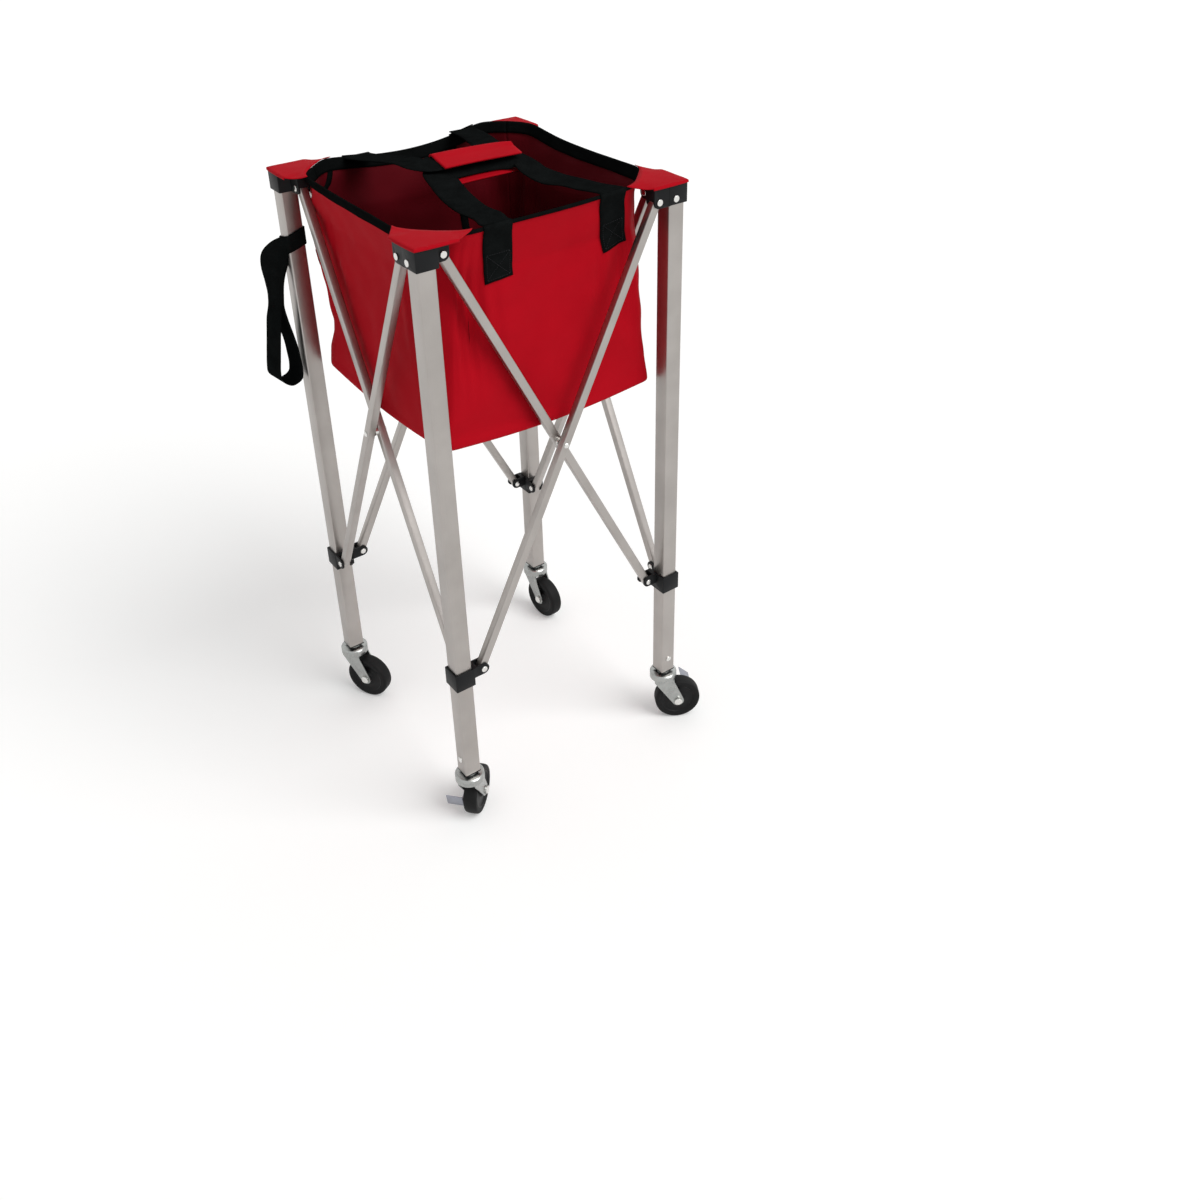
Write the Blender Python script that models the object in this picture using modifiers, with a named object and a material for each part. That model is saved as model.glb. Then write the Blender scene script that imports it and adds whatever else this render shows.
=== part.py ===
"""A folding tennis ball hopper: four square legs on swivel casters, crossed brace bars on
every face, a fabric ball bag hung from the corner caps, and two webbing carry handles.

Metres, +Z up. The floor is z = 0 and the middle of the four legs is x = y = 0.
The front face looks towards -Y. The legs are named by where they stand: sw, se, ne and nw.
"""

import math

import bmesh
import bpy
from mathutils import Matrix, Vector

# Frame
LEG_SPACING = 0.374        # from one leg's middle to the next, open
TUBE = 0.025               # square leg tube, outside
TUBE_WALL = 0.0015
TUBE_CORNER = 0.002
FOOT_Z = 0.103             # cut end of a leg above the floor
LEG_TOP_Z = 0.9190         # its top end, inside the cap
BAR = 0.012                # square brace tube, outside
BAR_WALL = 0.001
BAR_CORNER = 0.0015
BAR_END = 0.007            # tube past its end pivots
PIVOT_OFFSET = 0.031       # from a leg's middle to its bars' pivots
PIVOT_DROP = 0.0174        # top pivots below the legs' tops
PIVOT_TOP_Z = LEG_TOP_Z - PIVOT_DROP
PIVOT_LOW_Z = 0.288
OUTER_PLANE = 0.006        # middle of the outer bars, outwards of the legs' middles
INNER_PLANE = -0.011       # middle of the inner bars, inwards of them

# Corner caps and sliding collars
CAP_ROOF = 0.0032
CAP_HEIGHT = 0.0287
CAP_TOP_Z = LEG_TOP_Z + CAP_ROOF
CAP_BOTTOM_Z = CAP_TOP_Z - CAP_HEIGHT
SLIDER_BELOW = 0.021       # sliding collar's lower end below its pivots
SLIDER_BOTTOM_Z = PIVOT_LOW_Z - SLIDER_BELOW
SLIDER_HEIGHT = 0.029
COLLAR = 0.031             # outside of the caps' blocks and of the collars
COLLAR_EDGE = 0.0012
EAR_REACH = 0.0085         # ear past its pivot
EAR_WALL = 0.0025
EAR_ROOT = 0.0205          # where the slot between an ear's cheeks starts
EAR_ROOF = 0.003
EAR_END_WALL = 0.0015
EAR_STEP = 0.0004          # ear's roof below the cap's top
SLIDE_GAP = 0.0004         # collar to tube
FIT_GAP = 0.0003           # between touching pieces
CHEEK_GAP = 0.0003         # bar to cheek

# Rivets
SHANK = 0.0024
HEAD = 0.0042
HEAD_THICK = 0.0013
HEAD_CROWN = 0.7           # flat top of a head, as a share of its radius
RIVET_SIDES = 10
CAP_FIXING_ALONG = 0.004   # fixing rivet, along the cap's face from the leg's middle
FOOT_FIXING_Z = FOOT_Z + 0.0245
WASHER_RADIUS = 0.0065

# Casters
WHEEL_RADIUS = 0.0375
WHEEL_WIDTH = 0.021
HUB_WIDTH = 0.023
WHEEL_SIDES = 32
TRAIL = 0.024
FORK_PLATE = 0.002
FORK_INSIDE = 0.0242       # between the fork's side plates
RACE_RADIUS = 0.022
RACE_TOP_Z = FOOT_Z - 0.0062
RACE_BOTTOM_Z = FOOT_Z - 0.0190
NECK_RADIUS = 0.0105
STEM_RADIUS = 0.005
STEM_TOP_Z = FOOT_Z + 0.023
AXLE_RADIUS = 0.004
AXLE_HEAD = 0.0065
PLUG_FLANGE = 0.0020
PLUG_TOP_Z = FOOT_Z + 0.028
# where each wheel trails, measured from +X
CASTER_ANGLES = {"sw": 41.0, "se": -30.0, "ne": -85.0, "nw": -60.0}
BRAKES = {"sw": 192.0, "se": 48.0}   # how each brake lever stands, from the trail side up
LEVER_REACH = 0.027
LEVER_WIDTH = 0.012
LEVER_PLATE = 0.0016
PEDAL_OUT = 0.040          # pedal's end, from the wheel's middle
PEDAL_WIDTH = 0.022

# Ball bag
RIM_RISE = 0.0016          # bag's rim above the caps
FLARE_DROP = 0.0638        # where the flare below the rim ends
BAG_DEPTH = 0.3038
RIM_Z = CAP_TOP_Z + RIM_RISE
FLARE_Z = RIM_Z - FLARE_DROP
BAG_BOTTOM_Z = RIM_Z - BAG_DEPTH
RIM_INSET = 0.004          # bag inside the legs' middles, at the rim
WALL_INSET = 0.0195        # and below the flare
RIM_CUT = 0.065            # corner cut off the rim, along each side
FLARE_CUT = 0.0605
BOTTOM_CUT = 0.030
CLOTH = 0.002
FLOOR_THICK = 0.0025
SEAM_GAP = 0.0006
FLAP_OUT = 0.0170          # corner flap past the leg's middle
FLAP_ALONG = 0.048
FLAP_RISE = 0.0005

# Carry handles, grip wrap and leg strap
WEBBING = 0.040
WEBBING_THICK = 0.0016
TAIL_DROP = 0.0818         # a handle's sewn ends reach this far below the rim
TAIL_BOTTOM_Z = RIM_Z - TAIL_DROP
HANDLE_LEFT = -0.079       # middle of the left and right tails, on the front face
HANDLE_RIGHT = 0.094
TURN_RADIUS = 0.021
GRIP_RISE = 0.0242
GRIP_Z = RIM_Z + GRIP_RISE
GRIP_STEP = 0.0024
DROOP = 0.0178             # lowest place of a slack handle, below the rim
DROOP_Z = RIM_Z - DROOP
WRAP_LEFT = -0.0565
WRAP_RIGHT = 0.069
WRAP_THICK = 0.0015
WRAP_ROOM = 0.0012
STRAP_TIE_DROP = 0.101     # middle of the band below the leg's top
STRAP_TIE_Z = LEG_TOP_Z - STRAP_TIE_DROP
STRAP_WIDTH = 0.042
STRAP_THICK = 0.0018
STRAP_DROP = 0.229         # from there to the loop's lowest point
STRAP_WAIST = 0.023        # width of the hanging loop where it is twisted
STRAP_WAIST_AT = 0.010     # middle of the waist, across the loop
STRAP_LOOP = 0.060         # and at its widest, near the bottom
STRAP_LOOP_SHIFT = 0.004   # middle of that, across the loop
STRAP_LOOP_AT = (-0.041, 0.0184)   # middle of the loop, from the leg's middle
STRAP_TURN = -39.6         # how the loop is turned from facing -Y
STRAP_TONGUE = 0.022       # height of the piece that joins loop and band

H = LEG_SPACING / 2
CORNERS = ["sw", "se", "ne", "nw"]
FACES = ["s", "e", "n", "w"]
HALF_SPAN = H - PIVOT_OFFSET
RISE = PIVOT_TOP_Z - PIVOT_LOW_Z
BAR_LENGTH = math.hypot(2 * HALF_SPAN, RISE)
BAR_LEAN = math.atan2(2 * HALF_SPAN, RISE)
CROSS_Z = (PIVOT_TOP_Z + PIVOT_LOW_Z) / 2
EAR_HALF = BAR / 2 + CHEEK_GAP + EAR_WALL


# Building blocks

def turn(quarters):
    """A quarter turn about the hopper's middle, taken some times."""
    return Matrix.Rotation(quarters * math.pi / 2, 4, "Z")


def evaluated_mesh(holder):
    """The mesh of an object with its modifiers, and the object removed."""
    bpy.context.scene.collection.objects.link(holder)
    bpy.context.view_layer.update()
    depsgraph = bpy.context.evaluated_depsgraph_get()
    mesh = bpy.data.meshes.new_from_object(holder.evaluated_get(depsgraph))
    data = holder.data
    bpy.data.objects.remove(holder)
    if isinstance(data, bpy.types.Curve):
        bpy.data.curves.remove(data)
    return mesh


def mesh_from(bm):
    mesh = bpy.data.meshes.new("shape")
    bm.to_mesh(mesh)
    bm.free()
    return mesh


def box(low, high, edge=0.0):
    """A box between two corners, with its edges rounded."""
    low, high = Vector(low), Vector(high)
    size = high - low
    bm = bmesh.new()
    bmesh.ops.create_cube(bm, size=1.0)
    bmesh.ops.transform(bm, matrix=Matrix.Translation((low + high) / 2) @ Matrix.Diagonal((*size, 1)),
                        verts=bm.verts)
    if edge:
        bmesh.ops.bevel(bm, geom=list(bm.edges), offset=edge, segments=2, profile=0.5, affect="EDGES")
    return mesh_from(bm)


def rod(radius, start, end, sides=24):
    """A round bar from one point to another."""
    start, end = Vector(start), Vector(end)
    along = end - start
    bm = bmesh.new()
    bmesh.ops.create_cone(bm, cap_ends=True, segments=sides, radius1=radius, radius2=radius,
                          depth=along.length)
    spin = along.to_track_quat("Z", "Y").to_matrix().to_4x4()
    bmesh.ops.transform(bm, matrix=Matrix.Translation((start + end) / 2) @ spin, verts=bm.verts)
    return mesh_from(bm)


def plate(outlines, thickness, matrix):
    """Flat outlines given thickness, the second outline being a hole in the first."""
    curve = bpy.data.curves.new("outline", "CURVE")
    curve.dimensions = "2D"
    curve.fill_mode = "BOTH"
    curve.extrude = thickness / 2
    for points in outlines:
        spline = curve.splines.new("POLY")
        spline.points.add(len(points) - 1)
        for point, (x, y) in zip(spline.points, points):
            point.co = (x, y, 0, 1)
        spline.use_cyclic_u = True
    mesh = evaluated_mesh(bpy.data.objects.new("outline", curve))
    bm = bmesh.new()
    bm.from_mesh(mesh)
    bmesh.ops.remove_doubles(bm, verts=bm.verts, dist=1e-6)
    bmesh.ops.recalc_face_normals(bm, faces=bm.faces)
    bmesh.ops.transform(bm, matrix=matrix, verts=bm.verts)
    bm.to_mesh(mesh)
    bm.free()
    return mesh


def turned(profile, sides):
    """A profile of (radius, height) from top to bottom, turned about Z."""
    bm = bmesh.new()
    verts = [bm.verts.new((radius, 0, height)) for radius, height in profile]
    for first, second in zip(verts, verts[1:]):
        bm.edges.new((first, second))
    if profile[0][0] > 0:
        bm.edges.new((verts[-1], verts[0]))
    holder = bpy.data.objects.new("profile", mesh_from(bm))
    screw = holder.modifiers.new("Screw", "SCREW")
    screw.steps = sides
    screw.render_steps = sides
    screw.use_merge_vertices = True
    screw.merge_threshold = 0.00001
    mesh = evaluated_mesh(holder)
    bm = bmesh.new()
    bm.from_mesh(mesh)
    bmesh.ops.remove_doubles(bm, verts=bm.verts, dist=1e-6)
    bmesh.ops.recalc_face_normals(bm, faces=bm.faces)
    bm.to_mesh(mesh)
    bm.free()
    return mesh


def sheet(rows, thickness, offset=0.0):
    """Cloth through rows of points, made solid."""
    bm = bmesh.new()
    grid = [[bm.verts.new(point) for point in row] for row in rows]
    for upper, lower in zip(grid, grid[1:]):
        for a, b, c, d in zip(upper, upper[1:], lower[1:], lower):
            bm.faces.new((a, b, c, d))
    bm.normal_update()
    holder = bpy.data.objects.new("cloth", mesh_from(bm))
    solidify = holder.modifiers.new("Solidify", "SOLIDIFY")
    solidify.thickness = thickness
    solidify.offset = offset
    solidify.use_even_offset = True
    mesh = evaluated_mesh(holder)
    bm = bmesh.new()
    bm.from_mesh(mesh)
    bmesh.ops.recalc_face_normals(bm, faces=bm.faces)
    bm.to_mesh(mesh)
    bm.free()
    return mesh


def built(base, *steps):
    """A mesh with others joined to it or cut from it."""
    holder = bpy.data.objects.new("base", base)
    helpers = []
    for number, (operation, tool) in enumerate(steps):
        helper = bpy.data.objects.new("tool", tool)
        bpy.context.scene.collection.objects.link(helper)
        helpers.append(helper)
        modifier = holder.modifiers.new("Boolean %d" % number, "BOOLEAN")
        modifier.operation = operation
        modifier.object = helper
    mesh = evaluated_mesh(holder)
    for helper in helpers:
        bpy.data.objects.remove(helper)
    return mesh


def moved(mesh, matrix):
    copy = mesh.copy()
    copy.transform(matrix)
    return copy


def rounded_square(size, corner, steps=3):
    half = size / 2 - corner
    points = []
    for quarter in range(4):
        centre = [(half, half), (-half, half), (-half, -half), (half, -half)][quarter]
        for step in range(steps + 1):
            angle = (quarter + step / steps) * math.pi / 2
            points.append((centre[0] + corner * math.cos(angle), centre[1] + corner * math.sin(angle)))
    return points


def square_tube(size, wall, corner, low, high):
    """An open square tube standing between two heights."""
    outside = rounded_square(size, corner)
    inside = rounded_square(size - 2 * wall, max(corner - wall, 0.0004))
    return plate([outside, inside], high - low, Matrix.Translation((0, 0, (low + high) / 2)))


def upright(plane_y):
    """Stands a flat outline in the XZ plane at a given y."""
    return Matrix.Translation((0, plane_y, 0)) @ Matrix.Rotation(math.pi / 2, 4, "X")


def arc(centre, radius, start, end, steps):
    return [
        (centre[0] + radius * math.cos(math.radians(start + (end - start) * step / steps)),
         centre[1] + radius * math.sin(math.radians(start + (end - start) * step / steps)))
        for step in range(steps + 1)
    ]


def rivet(start, end):
    """A rivet with a head outside each of two faces, along the line between them."""
    start, end = Vector(start), Vector(end)
    along = (end - start).normalized()
    length = (end - start).length + 2 * FIT_GAP
    half = length / 2
    profile = [
        (0, half + HEAD_THICK),
        (HEAD * HEAD_CROWN, half + HEAD_THICK),
        (HEAD, half),
        (SHANK, half),
        (SHANK, -half),
        (HEAD, -half),
        (HEAD * HEAD_CROWN, -half - HEAD_THICK),
        (0, -half - HEAD_THICK),
    ]
    mesh = turned(profile, RIVET_SIDES)
    spin = along.to_track_quat("Z", "Y").to_matrix().to_4x4()
    mesh.transform(Matrix.Translation((start + end) / 2) @ spin)
    return mesh


# Materials

def finish(name, colour, roughness, metallic=0.0):
    material = bpy.data.materials.new(name)
    material.use_nodes = True
    shader = next(node for node in material.node_tree.nodes if node.type == "BSDF_PRINCIPLED")
    shader.inputs["Base Color"].default_value = (*colour, 1)
    shader.inputs["Roughness"].default_value = roughness
    shader.inputs["Metallic"].default_value = metallic
    return material


def clear_scene():
    for item in list(bpy.data.objects):
        bpy.data.objects.remove(item)


clear_scene()
hopper = bpy.data.collections.new("tennis_ball_hopper")
bpy.context.scene.collection.children.link(hopper)

ALUMINIUM = finish("satin aluminium", (0.62, 0.60, 0.58), 0.35, 1.0)
RIVET_STEEL = finish("rivet steel", (0.72, 0.71, 0.70), 0.3, 1.0)
ZINC = finish("zinc plate", (0.55, 0.56, 0.57), 0.3, 1.0)
BLACK_PLASTIC = finish("black nylon", (0.012, 0.012, 0.013), 0.5)
WHEEL_RUBBER = finish("black wheel", (0.012, 0.012, 0.012), 0.6)
RED_CLOTH = finish("red polyester", (0.42, 0.004, 0.012), 0.8)
WEBBING_BLACK = finish("black webbing", (0.008, 0.009, 0.010), 0.85)

pivots = {}
pivot_at = {}


def pivot(name, at, parent=None):
    """An empty on a joint's axis, which carries a moving group."""
    empty = bpy.data.objects.new(name, None)
    hopper.objects.link(empty)
    pivot_at[name] = Vector(at)
    empty.location = Vector(at)
    if parent:
        empty.parent = pivots[parent]
        empty.location = Vector(at) - pivot_at[parent]
    pivots[name] = empty
    return name


def piece(name, mesh, group, material, at=(0, 0, 0), spin=None, smooth=30.0):
    """A named piece of the hopper on its moving group."""
    item = bpy.data.objects.new(name, mesh)
    hopper.objects.link(item)
    item.parent = pivots[group]
    item.location = Vector(at) - pivot_at[group]
    if spin is not None:
        item.rotation_euler = spin
    mesh.materials.clear()
    mesh.materials.append(material)
    mesh.shade_smooth()
    mesh.set_sharp_from_angle(angle=math.radians(smooth))
    return item


# Where everything turns. A face's own frame looks at it from outside: x to its right, and
# the face's middle plane at y = -H. turn(k) carries the front face's frame to face k.

def on_face(k, along, plane, height):
    return turn(k) @ Vector((along, -H - plane, height))


def leg_at(k):
    return turn(k) @ Vector((-H, -H, 0))


pivot("frame", leg_at(0))
pivot("turn_brace_s_inner", on_face(0, -HALF_SPAN, INNER_PLANE, PIVOT_TOP_Z), "frame")
pivot("turn_brace_s_outer", on_face(0, 0, 0, CROSS_Z), "turn_brace_s_inner")
pivot("turn_leg_se", on_face(0, HALF_SPAN, OUTER_PLANE, PIVOT_TOP_Z), "turn_brace_s_outer")
pivot("turn_slider_sw", on_face(0, -HALF_SPAN, OUTER_PLANE, PIVOT_LOW_Z), "turn_brace_s_outer")
pivot("turn_slider_se", on_face(0, HALF_SPAN, INNER_PLANE, PIVOT_LOW_Z), "turn_brace_s_inner")
pivot("turn_brace_w_outer", on_face(3, HALF_SPAN, OUTER_PLANE, PIVOT_TOP_Z), "frame")
pivot("turn_brace_w_inner", on_face(3, 0, 0, CROSS_Z), "turn_brace_w_outer")
pivot("turn_leg_nw", on_face(3, -HALF_SPAN, INNER_PLANE, PIVOT_TOP_Z), "turn_brace_w_inner")
pivot("turn_slider_nw", on_face(3, -HALF_SPAN, OUTER_PLANE, PIVOT_LOW_Z), "turn_brace_w_outer")
pivot("turn_brace_e_inner", on_face(1, -HALF_SPAN, INNER_PLANE, PIVOT_TOP_Z), "turn_leg_se")
pivot("turn_brace_e_outer", on_face(1, 0, 0, CROSS_Z), "turn_brace_e_inner")
pivot("turn_leg_ne", on_face(1, HALF_SPAN, OUTER_PLANE, PIVOT_TOP_Z), "turn_brace_e_outer")
pivot("turn_slider_ne", on_face(1, HALF_SPAN, INNER_PLANE, PIVOT_LOW_Z), "turn_brace_e_inner")
pivot("turn_brace_n_outer", on_face(2, HALF_SPAN, OUTER_PLANE, PIVOT_TOP_Z), "turn_leg_nw")
pivot("turn_brace_n_inner", on_face(2, 0, 0, CROSS_Z), "turn_brace_n_outer")
LEG_GROUP = {"sw": "frame", "se": "turn_leg_se", "ne": "turn_leg_ne", "nw": "turn_leg_nw"}


# Brace bars, square tube with a hole at each pivot

def brace_mesh():
    tube = square_tube(BAR, BAR_WALL, BAR_CORNER, -BAR_LENGTH / 2 - BAR_END, BAR_LENGTH / 2 + BAR_END)
    holes = [
        ("DIFFERENCE", rod(SHANK + FIT_GAP, (0, -BAR, height), (0, BAR, height), RIVET_SIDES))
        for height in (-BAR_LENGTH / 2, 0, BAR_LENGTH / 2)
    ]
    return built(tube, *holes)


def make_braces():
    mesh = brace_mesh()
    for k, face in enumerate(FACES):
        for kind, plane, lean in (("outer", OUTER_PLANE, 1), ("inner", INNER_PLANE, -1)):
            name = "brace_%s_%s" % (face, kind)
            piece(name, mesh.copy(), "turn_" + name, ALUMINIUM, on_face(k, 0, plane, CROSS_Z),
                  (0, lean * BAR_LEAN, k * math.pi / 2))


def make_cross_rivets():
    """The rivet through each crossing, with a washer between the two bars."""
    for k, face in enumerate(FACES):
        front = -OUTER_PLANE - BAR / 2
        back = -INNER_PLANE + BAR / 2
        pin = rivet((0, front, 0), (0, back, 0))
        low = -OUTER_PLANE + BAR / 2 + FIT_GAP
        high = -INNER_PLANE - BAR / 2 - FIT_GAP
        washer = rod(WASHER_RADIUS, (0, low, 0), (0, high, 0), 20)
        group = "turn_brace_%s_%s" % (face, "inner" if k < 2 else "outer")
        piece("cross_rivet_%s" % face, built(pin, ("UNION", washer)), group, RIVET_STEEL,
              on_face(k, 0, 0, CROSS_Z), (0, 0, k * math.pi / 2))


# Legs

def leg_mesh():
    tube = square_tube(TUBE, TUBE_WALL, TUBE_CORNER, FOOT_Z, LEG_TOP_Z)
    return built(
        tube,
        ("DIFFERENCE", rod(SHANK + FIT_GAP, (-TUBE, CAP_FIXING_ALONG, PIVOT_TOP_Z),
                           (0, CAP_FIXING_ALONG, PIVOT_TOP_Z), RIVET_SIDES)),
        ("DIFFERENCE", rod(SHANK + FIT_GAP, (-TUBE, 0, FOOT_FIXING_Z), (-TUBE / 4, 0, FOOT_FIXING_Z),
                           RIVET_SIDES)),
    )


def ear_plate(pivot_z, roof_z, floor_z, middle):
    """The solid ear in the XZ plane, rounded about its pivot, before its slot is cut."""
    reach = PIVOT_OFFSET + EAR_REACH
    root = COLLAR / 2 - 2 * COLLAR_EDGE
    if pivot_z > CROSS_Z:
        outline = [(root, floor_z), (root, roof_z), (reach, roof_z)]
        outline += arc((PIVOT_OFFSET, pivot_z), EAR_REACH, 0, -90, 5)
    else:
        outline = [(root, floor_z)]
        outline += arc((PIVOT_OFFSET, pivot_z), EAR_REACH, -90, 90, 8)
        outline += [(root, roof_z)]
    return plate([outline], 2 * EAR_HALF, upright(middle))


def slot(low_x, high_x, middle, low_z, high_z):
    half = BAR / 2 + CHEEK_GAP
    return box((low_x, middle - half, low_z), (high_x, middle + half, high_z))


def to_side(mesh, side):
    """Mirrors a shape of the leg's front ear in the leg's diagonal, for its side ear."""
    if side:
        mesh.transform(Matrix(((0, 1, 0, 0), (1, 0, 0, 0), (0, 0, 1, 0), (0, 0, 0, 1))))
        mesh.flip_normals()
    return mesh


def cap_mesh():
    """The moulded cap on a leg's top, with the rivet that fixes it to the tube. Its front ear
    holds an inner bar, and its side ear an outer bar."""
    half = COLLAR / 2
    reach = PIVOT_OFFSET + EAR_REACH
    block = box((-half, -half, CAP_BOTTOM_Z), (half, half, CAP_TOP_Z), COLLAR_EDGE)
    steps = []
    ears = ((INNER_PLANE, False), (OUTER_PLANE, True))
    roof = CAP_TOP_Z - EAR_STEP
    for plane, side in ears:
        ear = ear_plate(PIVOT_TOP_Z, roof, PIVOT_TOP_Z - EAR_REACH, -plane)
        steps.append(("UNION", to_side(ear, side)))
    socket = TUBE / 2 + FIT_GAP
    steps.append(("DIFFERENCE", box((-socket, -socket, CAP_BOTTOM_Z - 0.01),
                                    (socket, socket, LEG_TOP_Z + FIT_GAP))))
    for plane, side in ears:
        cuts = [
            slot(EAR_ROOT, reach - EAR_END_WALL, -plane, CAP_BOTTOM_Z - 0.01, roof - EAR_ROOF),
            slot(reach - 2 * EAR_END_WALL, reach + 0.01, -plane, CAP_BOTTOM_Z - 0.01,
                 PIVOT_TOP_Z + EAR_END_WALL),
            rod(SHANK + FIT_GAP, (PIVOT_OFFSET, -plane - 0.02, PIVOT_TOP_Z),
                (PIVOT_OFFSET, -plane + 0.02, PIVOT_TOP_Z), RIVET_SIDES),
        ]
        for cut in cuts:
            steps.append(("DIFFERENCE", to_side(cut, side)))
    inside = -TUBE / 2 + TUBE_WALL
    steps.append(("UNION", rivet((-COLLAR / 2, CAP_FIXING_ALONG, PIVOT_TOP_Z),
                                 (inside, CAP_FIXING_ALONG, PIVOT_TOP_Z))))
    return built(block, *steps)


def slider_mesh():
    """The collar that slides on a leg, with its two pivot pins. Its front ear holds an outer
    bar, and its side ear an inner bar."""
    half = COLLAR / 2
    top = SLIDER_BOTTOM_Z + SLIDER_HEIGHT
    block = box((-half, -half, SLIDER_BOTTOM_Z), (half, half, top), COLLAR_EDGE)
    steps = []
    ears = ((OUTER_PLANE, False), (INNER_PLANE, True))
    for plane, side in ears:
        ear = ear_plate(PIVOT_LOW_Z, PIVOT_LOW_Z + EAR_REACH, PIVOT_LOW_Z - EAR_REACH, -plane)
        steps.append(("UNION", to_side(ear, side)))
    bore = TUBE / 2 + SLIDE_GAP
    steps.append(("DIFFERENCE", box((-bore, -bore, SLIDER_BOTTOM_Z - 0.01), (bore, bore, top + 0.01))))
    for plane, side in ears:
        cut = slot(EAR_ROOT, PIVOT_OFFSET + 0.02, -plane, SLIDER_BOTTOM_Z - 0.01, top + 0.02)
        steps.append(("DIFFERENCE", to_side(cut, side)))
        steps.append(("UNION", ear_rivet(plane, PIVOT_LOW_Z, side)))
    return built(block, *steps)


def ear_rivet(plane, pivot_z, side):
    """The pivot rivet of a front ear, or of a side ear, relative to the leg's middle."""
    near = -plane - EAR_HALF
    far = -plane + EAR_HALF
    if side:
        return rivet((near, PIVOT_OFFSET, pivot_z), (far, PIVOT_OFFSET, pivot_z))
    return rivet((PIVOT_OFFSET, near, pivot_z), (PIVOT_OFFSET, far, pivot_z))


def foot_plug_mesh():
    """The plug in a leg's foot, with a socket for the caster's stem, and the plug's rivet."""
    flange = TUBE / 2
    inside = TUBE / 2 - TUBE_WALL - FIT_GAP
    bottom = FOOT_Z - FIT_GAP - PLUG_FLANGE
    return built(
        box((-flange, -flange, bottom), (flange, flange, FOOT_Z - FIT_GAP), 0.0005),
        ("UNION", box((-inside, -inside, FOOT_Z - 2 * FIT_GAP), (inside, inside, PLUG_TOP_Z))),
        ("DIFFERENCE", rod(STEM_RADIUS + FIT_GAP, (0, 0, bottom - 0.01), (0, 0, STEM_TOP_Z + FIT_GAP))),
        ("UNION", rivet((-TUBE / 2, 0, FOOT_FIXING_Z), (-TUBE / 2 + 2 * TUBE_WALL, 0, FOOT_FIXING_Z))),
    )


def make_corners():
    leg, cap, slider = leg_mesh(), cap_mesh(), slider_mesh()
    plug = foot_plug_mesh()
    for k, corner in enumerate(CORNERS):
        group, spin = LEG_GROUP[corner], (0, 0, k * math.pi / 2)
        piece("leg_" + corner, leg.copy(), group, ALUMINIUM, leg_at(k), spin)
        piece("cap_" + corner, cap.copy(), group, BLACK_PLASTIC, leg_at(k), spin)
        ears = ((FACES[k], "inner", ear_rivet(INNER_PLANE, PIVOT_TOP_Z, False)),
                (FACES[k - 1], "outer", ear_rivet(OUTER_PLANE, PIVOT_TOP_Z, True)))
        for face, kind, pin in ears:
            piece("cap_rivet_%s_%s" % (face, kind), pin, group, RIVET_STEEL, leg_at(k), spin)
        piece("foot_plug_" + corner, plug.copy(), group, BLACK_PLASTIC, leg_at(k), spin)
        piece("slider_" + corner, slider.copy(), "turn_slider_" + corner, BLACK_PLASTIC, leg_at(k), spin)


# Casters. A caster's own frame has the stem on Z and the wheel trailing towards +X.

def fork_mesh():
    inner = FORK_INSIDE / 2
    outline = [(-RACE_RADIUS * 0.72, RACE_BOTTOM_Z + 0.004), (-RACE_RADIUS * 0.72, RACE_BOTTOM_Z - 0.004)]
    outline += arc((TRAIL, WHEEL_RADIUS), 0.0095, 218, 378, 8)
    outline += [(RACE_RADIUS * 0.76, RACE_BOTTOM_Z - 0.004), (RACE_RADIUS * 0.76, RACE_BOTTOM_Z + 0.004)]
    race = turned([(0, RACE_TOP_Z), (RACE_RADIUS - 0.002, RACE_TOP_Z), (RACE_RADIUS, RACE_TOP_Z - 0.002),
                   (RACE_RADIUS, RACE_BOTTOM_Z + 0.001), (RACE_RADIUS - 0.001, RACE_BOTTOM_Z),
                   (0, RACE_BOTTOM_Z)], 32)
    steps = [
        ("UNION", plate([outline], FORK_PLATE, upright(sign * (inner + FORK_PLATE / 2))))
        for sign in (-1, 1)
    ]
    neck_top = FOOT_Z - PLUG_FLANGE - 3 * FIT_GAP
    steps += [
        ("UNION", rod(NECK_RADIUS, (0, 0, RACE_TOP_Z - 0.001), (0, 0, neck_top))),
        ("UNION", rod(STEM_RADIUS, (0, 0, neck_top - 0.001), (0, 0, STEM_TOP_Z))),
        ("DIFFERENCE", rod(AXLE_RADIUS + FIT_GAP, (TRAIL, -0.03, WHEEL_RADIUS), (TRAIL, 0.03, WHEEL_RADIUS))),
    ]
    return built(race, *steps)


def wheel_mesh():
    """The wheel about its own axle, which lies along Y."""
    rim, hub, bore = WHEEL_WIDTH / 2, HUB_WIDTH / 2, AXLE_RADIUS + FIT_GAP
    radius = WHEEL_RADIUS
    half = [(radius, rim * 0.45), (radius - 0.0009, rim * 0.75), (radius - 0.003, rim),
            (radius - 0.009, rim), (radius - 0.0105, rim * 0.72), (0.0125, rim * 0.72),
            (0.011, hub), (bore, hub)]
    profile = list(reversed(half)) + [(r, -y) for r, y in half]
    mesh = turned(profile, WHEEL_SIDES)
    mesh.transform(Matrix.Rotation(math.pi / 2, 4, "X"))
    return mesh


def axle_mesh(near, far):
    """A bolt and its nut, with the heads outside y = near and y = far."""
    return turned_along_y([(0, far + 0.004), (AXLE_HEAD * 0.8, far + 0.004), (AXLE_HEAD, far + 0.003),
                           (AXLE_HEAD, far + FIT_GAP), (AXLE_RADIUS, far + FIT_GAP),
                           (AXLE_RADIUS, near - FIT_GAP), (AXLE_HEAD, near - FIT_GAP),
                           (AXLE_HEAD, near - 0.003), (AXLE_HEAD * 0.8, near - 0.004), (0, near - 0.004)])


def turned_along_y(profile):
    mesh = turned(profile, 16)
    mesh.transform(Matrix.Rotation(-math.pi / 2, 4, "X"))
    return mesh


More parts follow.
